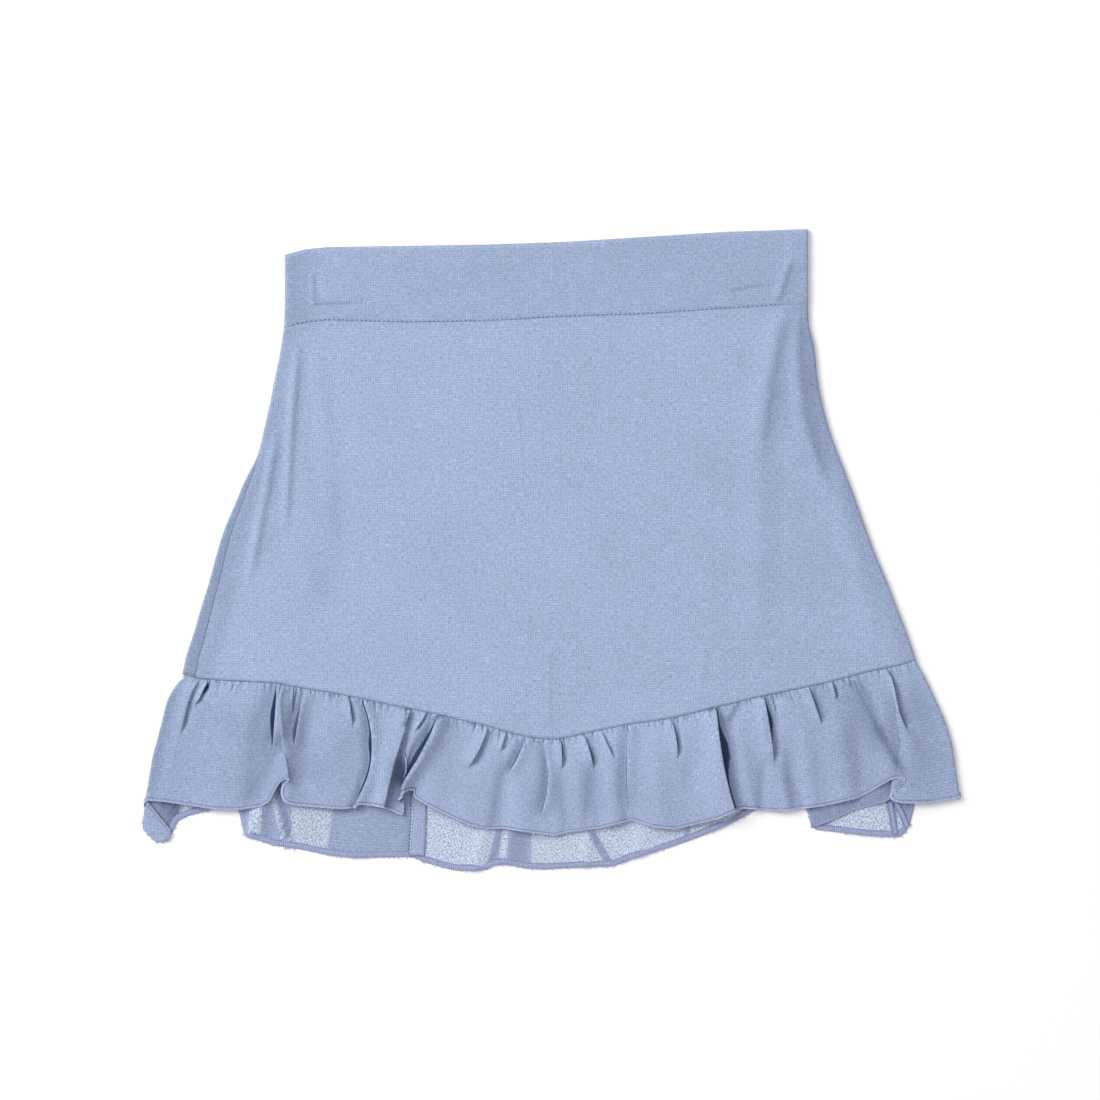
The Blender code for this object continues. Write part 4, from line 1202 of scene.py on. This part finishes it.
# --- Overlocked hem of the ruffle ---
# The raw hem is bound all round with overlock stitching in a bluer thread. It
# shows narrow on the right side and wide on the wrong side, and frays a little.
RIM_WIDTH = 1.9
BAND_WIDTH = 4.0
RIM_HIGH = 0.38
RIM_LOWEST = RIM_HIGH + 0.05
RIM_OUT = 0.25
RIM_SHARE = np.array([0.0, 0.10, 0.30, 0.65, 0.92, 1.0])[:, None]
RIM_ROUND = np.array([0.0, 0.7, 0.95, 1.0, 0.8, 0.0])[:, None]
RIM_DIM = 0.40
RIM_BLUE = (0.400, 0.450, 0.660)
RIM_NAVY = (0.085, 0.105, 0.260, 1.0)
LOOP_BLUE = (0.430, 0.480, 0.670)
LOOP_PITCH = 1.35
LOOP_SLANT = 0.7
LOOP_WIDE = 0.42
LOOP_HIGH = 0.30
LOOP_LOWEST = LOOP_HIGH / 2 + 0.02
THREAD_SIDES = 4
LOOP_FAT = np.array([0.7, 1.0, 1.0, 0.7])
# A loop's points: share of the rim's width, and height above its middle.
LOOP_STEPS = ((1.0, 0.75), (0.6, 1.15), (0.2, 1.1), (0.0, 0.4))
HEM_LOOK = 26
HEM_ROWS = 9
HEM_NEAR = 1.0


def overlock(name, colour, edge_colour):
    """Thread packed over an edge, darker along its inner side by the mark inner."""
    inputs = {"Roughness": 0.75, "Specular IOR Level": 0.2}
    material, shader, add = new_material(name, inputs)
    uv = add("UVMap", {}, uv_map=UV_NAME)["UV"]
    place = add("Mapping", {"Vector": uv, "Scale": (900.0, 1600.0, 1.0)})["Vector"]
    packed = shades_of(add, colour, {"Vector": place, "Scale": 1.0}, 0.78, 0.35)
    inner = add("Attribute", {}, attribute_name="inner")["Fac"]
    mixed = {0: inner, 6: packed, 7: edge_colour}
    feed(shader, {"Base Color": add("Mix", mixed, data_type="RGBA")[2]})
    return material


rim_thread = overlock("overlock_thread", RIM_BLUE, RIM_NAVY)
loop_thread = thread("overlock_loops", LOOP_BLUE, 0.7)


def unit(vectors):
    return vectors / np.maximum(np.linalg.norm(vectors, axis=-1, keepdims=True), 1e-9)


def smooth(values, reach):
    """Running mean along the first axis, with its ends held."""
    padded = np.pad(values, ((reach, reach), (0, 0)), mode="edge")
    size = 2 * reach + 1
    return sum(padded[k : k + len(values)] for k in range(size)) / size


def lengths_along(line):
    """Length from the first point of a bent line to each."""
    gaps = np.linalg.norm(np.diff(line, axis=0), axis=1)
    return np.concatenate([[0.0], np.cumsum(gaps)])


def read_line(places, along, values):
    """Points between those of a bent line, at places along it."""
    return np.stack([np.interp(places, along, column) for column in values.T], axis=-1)


def cloth_below(points):
    """Height of the front's cloth at each point of the hem's rim.

    The highest point of the cloth's last rows within reach counts, from columns
    near its own, so that the rim lies on a lip where the hem runs back over it.
    """
    height = np.zeros(points.shape[:2])
    for row in range(-HEM_ROWS, 0):
        for shift in range(-HEM_LOOK, HEM_LOOK + 1):
            x, y, z = (np.roll(grid[row], shift) for grid in (ruffle_x, ruffle_y, ruffle_z))
            far = np.hypot(points[..., 0] - x, points[..., 1] - y)
            fronts = np.roll(ruffle_on_back, shift) + ruffle_on_back == 0.0
            height = np.where((far < HEM_NEAR) & fronts, np.maximum(height, z), height)
    return height


def bind_edge(
    rim_name, loops_name, edge, inward, width,
    facing=(0.0, 0.0, 1.0), slope=0.0, dim=RIM_DIM, faces=(1.0,), below=None,
):
    """Overlocks an edge, given as points: a band of thread, and loops over it.

    The band runs from its width inside the edge to a little beyond it, with the
    same thickness on both faces of the cloth, which face along facing. It is
    darker by dim all over, and more along its inner side. It lies on what the
    function below finds there. The loops slant, a row on each face in faces.
    """
    along = lengths_along(edge)
    inward, facing = (np.broadcast_to(way, edge.shape) for way in (inward, facing))
    width, slope = (np.broadcast_to(value, along.shape) for value in (width, slope))
    run = width * (1.0 - RIM_SHARE) - RIM_OUT * RIM_SHARE
    middle = edge + inward * run[..., None]
    middle[..., 2] = np.maximum(middle[..., 2] + slope * run, RIM_LOWEST)
    if below:
        middle[..., 2] = np.maximum(middle[..., 2], below(middle))
    lift = (RIM_HIGH * RIM_ROUND)[..., None] * facing
    points = np.concatenate([middle + lift, (middle - lift)[-2:0:-1]])
    index = np.arange(points[..., 0].size).reshape(points.shape[:2])
    after = np.roll(index, -1, axis=0)
    sides = quads(index[:, :-1], after[:, :-1], after[:, 1:], index[:, 1:])
    ends = [index[:, 0].tolist(), index[::-1, -1].tolist()]
    both = np.concatenate([run, run[-2:0:-1]])
    uv = np.stack([np.broadcast_to(along, both.shape), both], axis=-1)
    inner = np.maximum(0.95 * bell(width - both - 0.3, 0.5), dim)
    rim = add_piece(rim_name, points, sides + ends, rim_thread, uv, {"inner": inner})

    share, raised = np.array(LOOP_STEPS).T
    places = np.arange(LOOP_PITCH, along[-1] - LOOP_PITCH, LOOP_PITCH)
    where = places[:, None] + LOOP_SLANT * share
    run = np.interp(where, along, width) * share - RIM_OUT * (1.0 - share)
    middle = unit(read_line(where, along, inward)) * run[..., None]
    middle += read_line(where, along, edge)
    middle[..., 2] += np.interp(where, along, slope) * run
    middle[..., 2] = np.maximum(middle[..., 2], RIM_LOWEST)
    lift = (RIM_HIGH * raised)[:, None] * unit(read_line(where, along, facing))
    loops = np.concatenate([middle + face * lift for face in faces])
    loops[..., 2] = np.maximum(loops[..., 2], LOOP_LOWEST)
    fat = (LOOP_WIDE / 2 * LOOP_FAT, LOOP_HIGH / 2 * LOOP_FAT)
    add_tubes(loops_name, loops, *fat, THREAD_SIDES, loop_thread)
    return rim


above, hem_edge = np.stack([ruffle_x, ruffle_y, ruffle_z], axis=-1)[-2:]
hem_ahead = unit(smooth(unit(np.gradient(hem_edge, axis=0)), 2))
hem_side = np.where(np.arange(len(hem_edge)) < len(hem_edge) / 2, -1.0, 1.0)
hem_turn = np.pi * ruffle_on_back
hem_facing = np.column_stack([hem_side * np.sin(hem_turn), 0.0 * hem_turn, np.cos(hem_turn)])
hem_inward = unit(np.cross(hem_facing, hem_ahead))
hem_slope = (above - hem_edge)[:, 2] / np.linalg.norm(above - hem_edge, axis=1)
hem_overlock = bind_edge(
    "hem_overlock",
    "hem_loops",
    hem_edge,
    hem_inward,
    between(ruffle_on_back, RIM_WIDTH, BAND_WIDTH),
    facing=hem_facing,
    slope=hem_slope * (np.abs(np.cos(hem_turn)) > 0.9),
    dim=RIM_DIM * ruffle_on_back,
    faces=(1.0, -1.0),
    below=cloth_below,
)

FRAY_SEED = 5
FRAY_COUNT = 640
FRAY_LONGEST = 2.4
FRAY_HALF = 0.12
# Each tuft: x and y, how many hairs and how long at most.
TUFTS = (
    (-173.6, -197, 10, 4.2), (93, -184.8, 6, 1.6), (122, -179.5, 6, 1.8),
)


def fray_paths():
    """Loose hairs of thread at the hem: three points each, leaning any way outwards."""
    chance = np.random.default_rng(FRAY_SEED)
    gaps = np.linalg.norm(np.diff(hem_edge, axis=0, append=hem_edge[-1:]), axis=1)
    weight = (0.25 + 0.75 * ruffle_on_back) * gaps
    picked = chance.choice(len(hem_edge), FRAY_COUNT, p=weight / np.sum(weight))
    longest = np.full(FRAY_COUNT, FRAY_LONGEST)
    for x, y, count, long in TUFTS:
        nearest = np.argmin(np.hypot(hem_edge[:, 0] - x, hem_edge[:, 1] - y))
        picked = np.concatenate([picked, nearest + chance.integers(-1, 2, count)])
        longest = np.concatenate([longest, np.full(count, long)])
    out = -hem_inward[picked]
    lean = chance.normal(0.0, 0.9, len(picked))[:, None] * hem_ahead[picked]
    long = (chance.uniform(0.35, 1.0, len(picked)) * longest)[:, None]
    bend = chance.normal(0.0, 0.35, len(picked))[:, None] * hem_ahead[picked]
    way = unit(out + lean)
    start = hem_edge[picked] - 0.4 * way
    steps = [start, start + 0.5 * long * way, start + long * unit(way + bend)]
    paths = np.stack(steps, axis=1)
    paths[..., 2] = np.maximum(paths[..., 2] + chance.uniform(-0.2, 0.3), 0.35)
    return paths


add_tubes("hem_fray", fray_paths(), FRAY_HALF, FRAY_HALF, THREAD_SIDES, loop_thread)


# --- Join of the ruffle's two ends ---
# The strip's ends are sewn together on the back. Seen from the wrong side,
# their overlocked allowances lie pressed to the right of a line of stitching.

# Height, and the left and right edge of the allowance there.
JOIN_STRIP = (
    (-160, -92.2, -83.4), (-173, -92.5, -82.4), (-186, -93.2, -82.8), (-196, -93.8, -83.3),
    (-201.6, -94, -83.9),
)
JOIN_REACH = 2.0
JOIN_ROWS = 26
JOIN_ACROSS = 11
JOIN_Z = 1.15
JOIN_BULGE = 0.35
JOIN_RIM_WIDTH = 2.6
JOIN_STITCH_PITCH = 2.4
JOIN_STITCH = (2.2, 0.30, 0.22)
# Size of the dark dashes of painted shadow along the join's stitching.
JOIN_HOLE = (1.6, 0.40, 0.25)
JOIN_THREAD = (0.56, 0.58, 0.78)


def add_patch(name, grids, shade):
    """A patch of the ruffle's linen, its weave square to the table."""
    x, y, z = grids
    return add_cloth(name, (x, y, z, x, y), ruffle_linen, RUFFLE_WALL, shade)


join_y = np.linspace(JOIN_STRIP[0][0], JOIN_STRIP[-1][0], JOIN_ROWS)[:, None]
join_left, join_right = read_table(join_y, JOIN_STRIP, JOIN_REACH)
join_share = np.linspace(0.0, 1.0, JOIN_ACROSS)
join_x = between(join_share, join_left, join_right)
join_z = JOIN_Z + JOIN_BULGE * np.sin(np.pi * join_share)
join_shade = 0.90 - 0.10 * bell(join_share, 0.16)
join_cloth = add_patch("join_allowance", (join_x, join_y, join_z), join_shade)
join_edge = np.column_stack([join_right, join_y, np.full_like(join_y, JOIN_Z)])
join_overlock = bind_edge(
    "join_overlock", "join_loops", join_edge, (-1.0, 0.0, 0.0), JOIN_RIM_WIDTH
)


def dashes(name, size, aside, up, raised, tilt, material):
    """Short straight threads at the join's left edge, moved aside, up and off it."""
    y = np.arange(-200.0, -168.0, JOIN_STITCH_PITCH)[:, None]
    x = read_table(y, JOIN_STRIP, JOIN_REACH)[0]
    run = STITCH_RUN * size[0]
    sew(name, x + aside + tilt * run, y + up + run, JOIN_Z + raised, size, material)


# Painted shadow: dark dashes along the join's line of stitching.
join_shadow = thread("join_shadow", NEEDLE_SHADE_NAVY, 0.9)
dashes("join_needle_shadow", JOIN_HOLE, 0.1, 0.0, 0.25, 0.1, join_shadow)
join_thread = thread("join_thread", JOIN_THREAD)
dashes("join_stitches", JOIN_STITCH, 1.3, 1.0, 0.5, 0.05, join_thread)


# --- Folded corners of the ruffle's back ---
# At both sides the back of the ruffle lies folded on itself. At the left its
# corner turns up, with the hem across it. At the right the hem is turned in
# twice, and strips of it cross a stretch that lies single.

# Points of the fold and of the overlocked edge of each turned corner, and of
# each hem that crosses.
LEFT_CORNER_OUTER = (
    (-266.3, -165, 2.2), (-268.3, -172.9, 2), (-269.6, -180.2, 1.7), (-269, -184.4, 1.6),
    (-264.6, -188.9, 1.5), (-261.8, -191.9, 1.5), (-257.8, -192.6, 1.5),
)
LEFT_CORNER_EDGE = (
    (-264.5, -167.8, 2.3), (-261.4, -171.6, 2.3), (-257.8, -176.2, 2.2),
    (-254.4, -180.2, 2.1), (-251.2, -184.1, 2), (-250.8, -188.1, 1.8),
    (-252.8, -191.7, 1.6),
)
TURNED_TOP = (
    (171.6, -166, 1.7), (190, -160, 1.9), (204, -156, 2), (214, -151.6, 2.1),
    (222, -149.4, 2.2), (231.5, -150, 2.3),
)
TURNED_EDGE = (
    (172.3, -183, 1.6), (182.2, -179.5, 1.7), (193.1, -174.6, 1.8), (201.3, -170.9, 1.9),
    (214.2, -168, 2), (220.8, -165.9, 2.1), (224.4, -163.7, 2.2), (227.7, -156.4, 2.3),
    (232.3, -151.6, 2.4),
)
CROSSING_HEMS = (
    ((224.9, -165.6, 1.3), (226.4, -174, 1.2), (228.6, -187, 1.2)),
    ((228.6, -165.8, 1.5), (232.6, -173, 1.4), (236.4, -182, 1.3)),
)
CROSSING_POINTS = 14
CROSSING_WIDTH = 3.2
# Rows and columns of each corner's grid, and the width of its overlock.
LEFT_CORNER = (30, 12, 2.0)
TURNED_HEM = (60, 10, 1.9)
LEFT_CORNER_SHADE = 0.85
TURNED_HEM_SHADE = 0.67


def even_line(line, count):
    """Points at even lengths along a bent line."""
    line = np.array(line, dtype=float)
    along = lengths_along(line)
    return read_line(np.linspace(0.0, along[-1], count), along, line)


def bind_patch(rim_name, loops_name, edge, side, width):
    """Overlocks an edge that faces up, inwards to its left (1) or right (-1)."""
    ahead = unit(smooth(unit(np.gradient(edge, axis=0)), 1))
    inward = side * unit(np.cross((0.0, 0.0, 1.0), ahead))
    return bind_edge(rim_name, loops_name, edge, inward, width)


def add_corner(name, fold, edge, size, shade, side):
    """Cloth ruled between a fold and an edge, which is overlocked."""
    rows, columns, width = size
    fold, edge = even_line(fold, rows), even_line(edge, rows)
    across = np.linspace(0.0, 1.0, columns)[:, None]
    grid = fold[:, None] * (1.0 - across) + edge[:, None] * across
    cloth = add_patch(f"{name}_fold", np.moveaxis(grid, -1, 0), shade)
    rim = bind_patch(f"{name}_overlock", f"{name}_loops", edge, side, width)
    return cloth, rim


corner_cloth, corner_overlock = add_corner(
    "left_corner", LEFT_CORNER_OUTER, LEFT_CORNER_EDGE, LEFT_CORNER, LEFT_CORNER_SHADE, -1.0
)
turned_share = np.linspace(0.0, 1.0, TURNED_HEM[0])[:, None]
turned_shade = TURNED_HEM_SHADE - 0.20 * ease((turned_share - 0.6) / 0.4)
turned_cloth, turned_overlock = add_corner(
    "turned_hem", TURNED_TOP, TURNED_EDGE, TURNED_HEM, turned_shade, 1.0
)
for number, line in enumerate(CROSSING_HEMS, start=1):
    names = (f"crossing_hem_{number}", f"crossing_loops_{number}")
    bind_patch(*names, even_line(line, CROSSING_POINTS), -1.0, CROSSING_WIDTH)
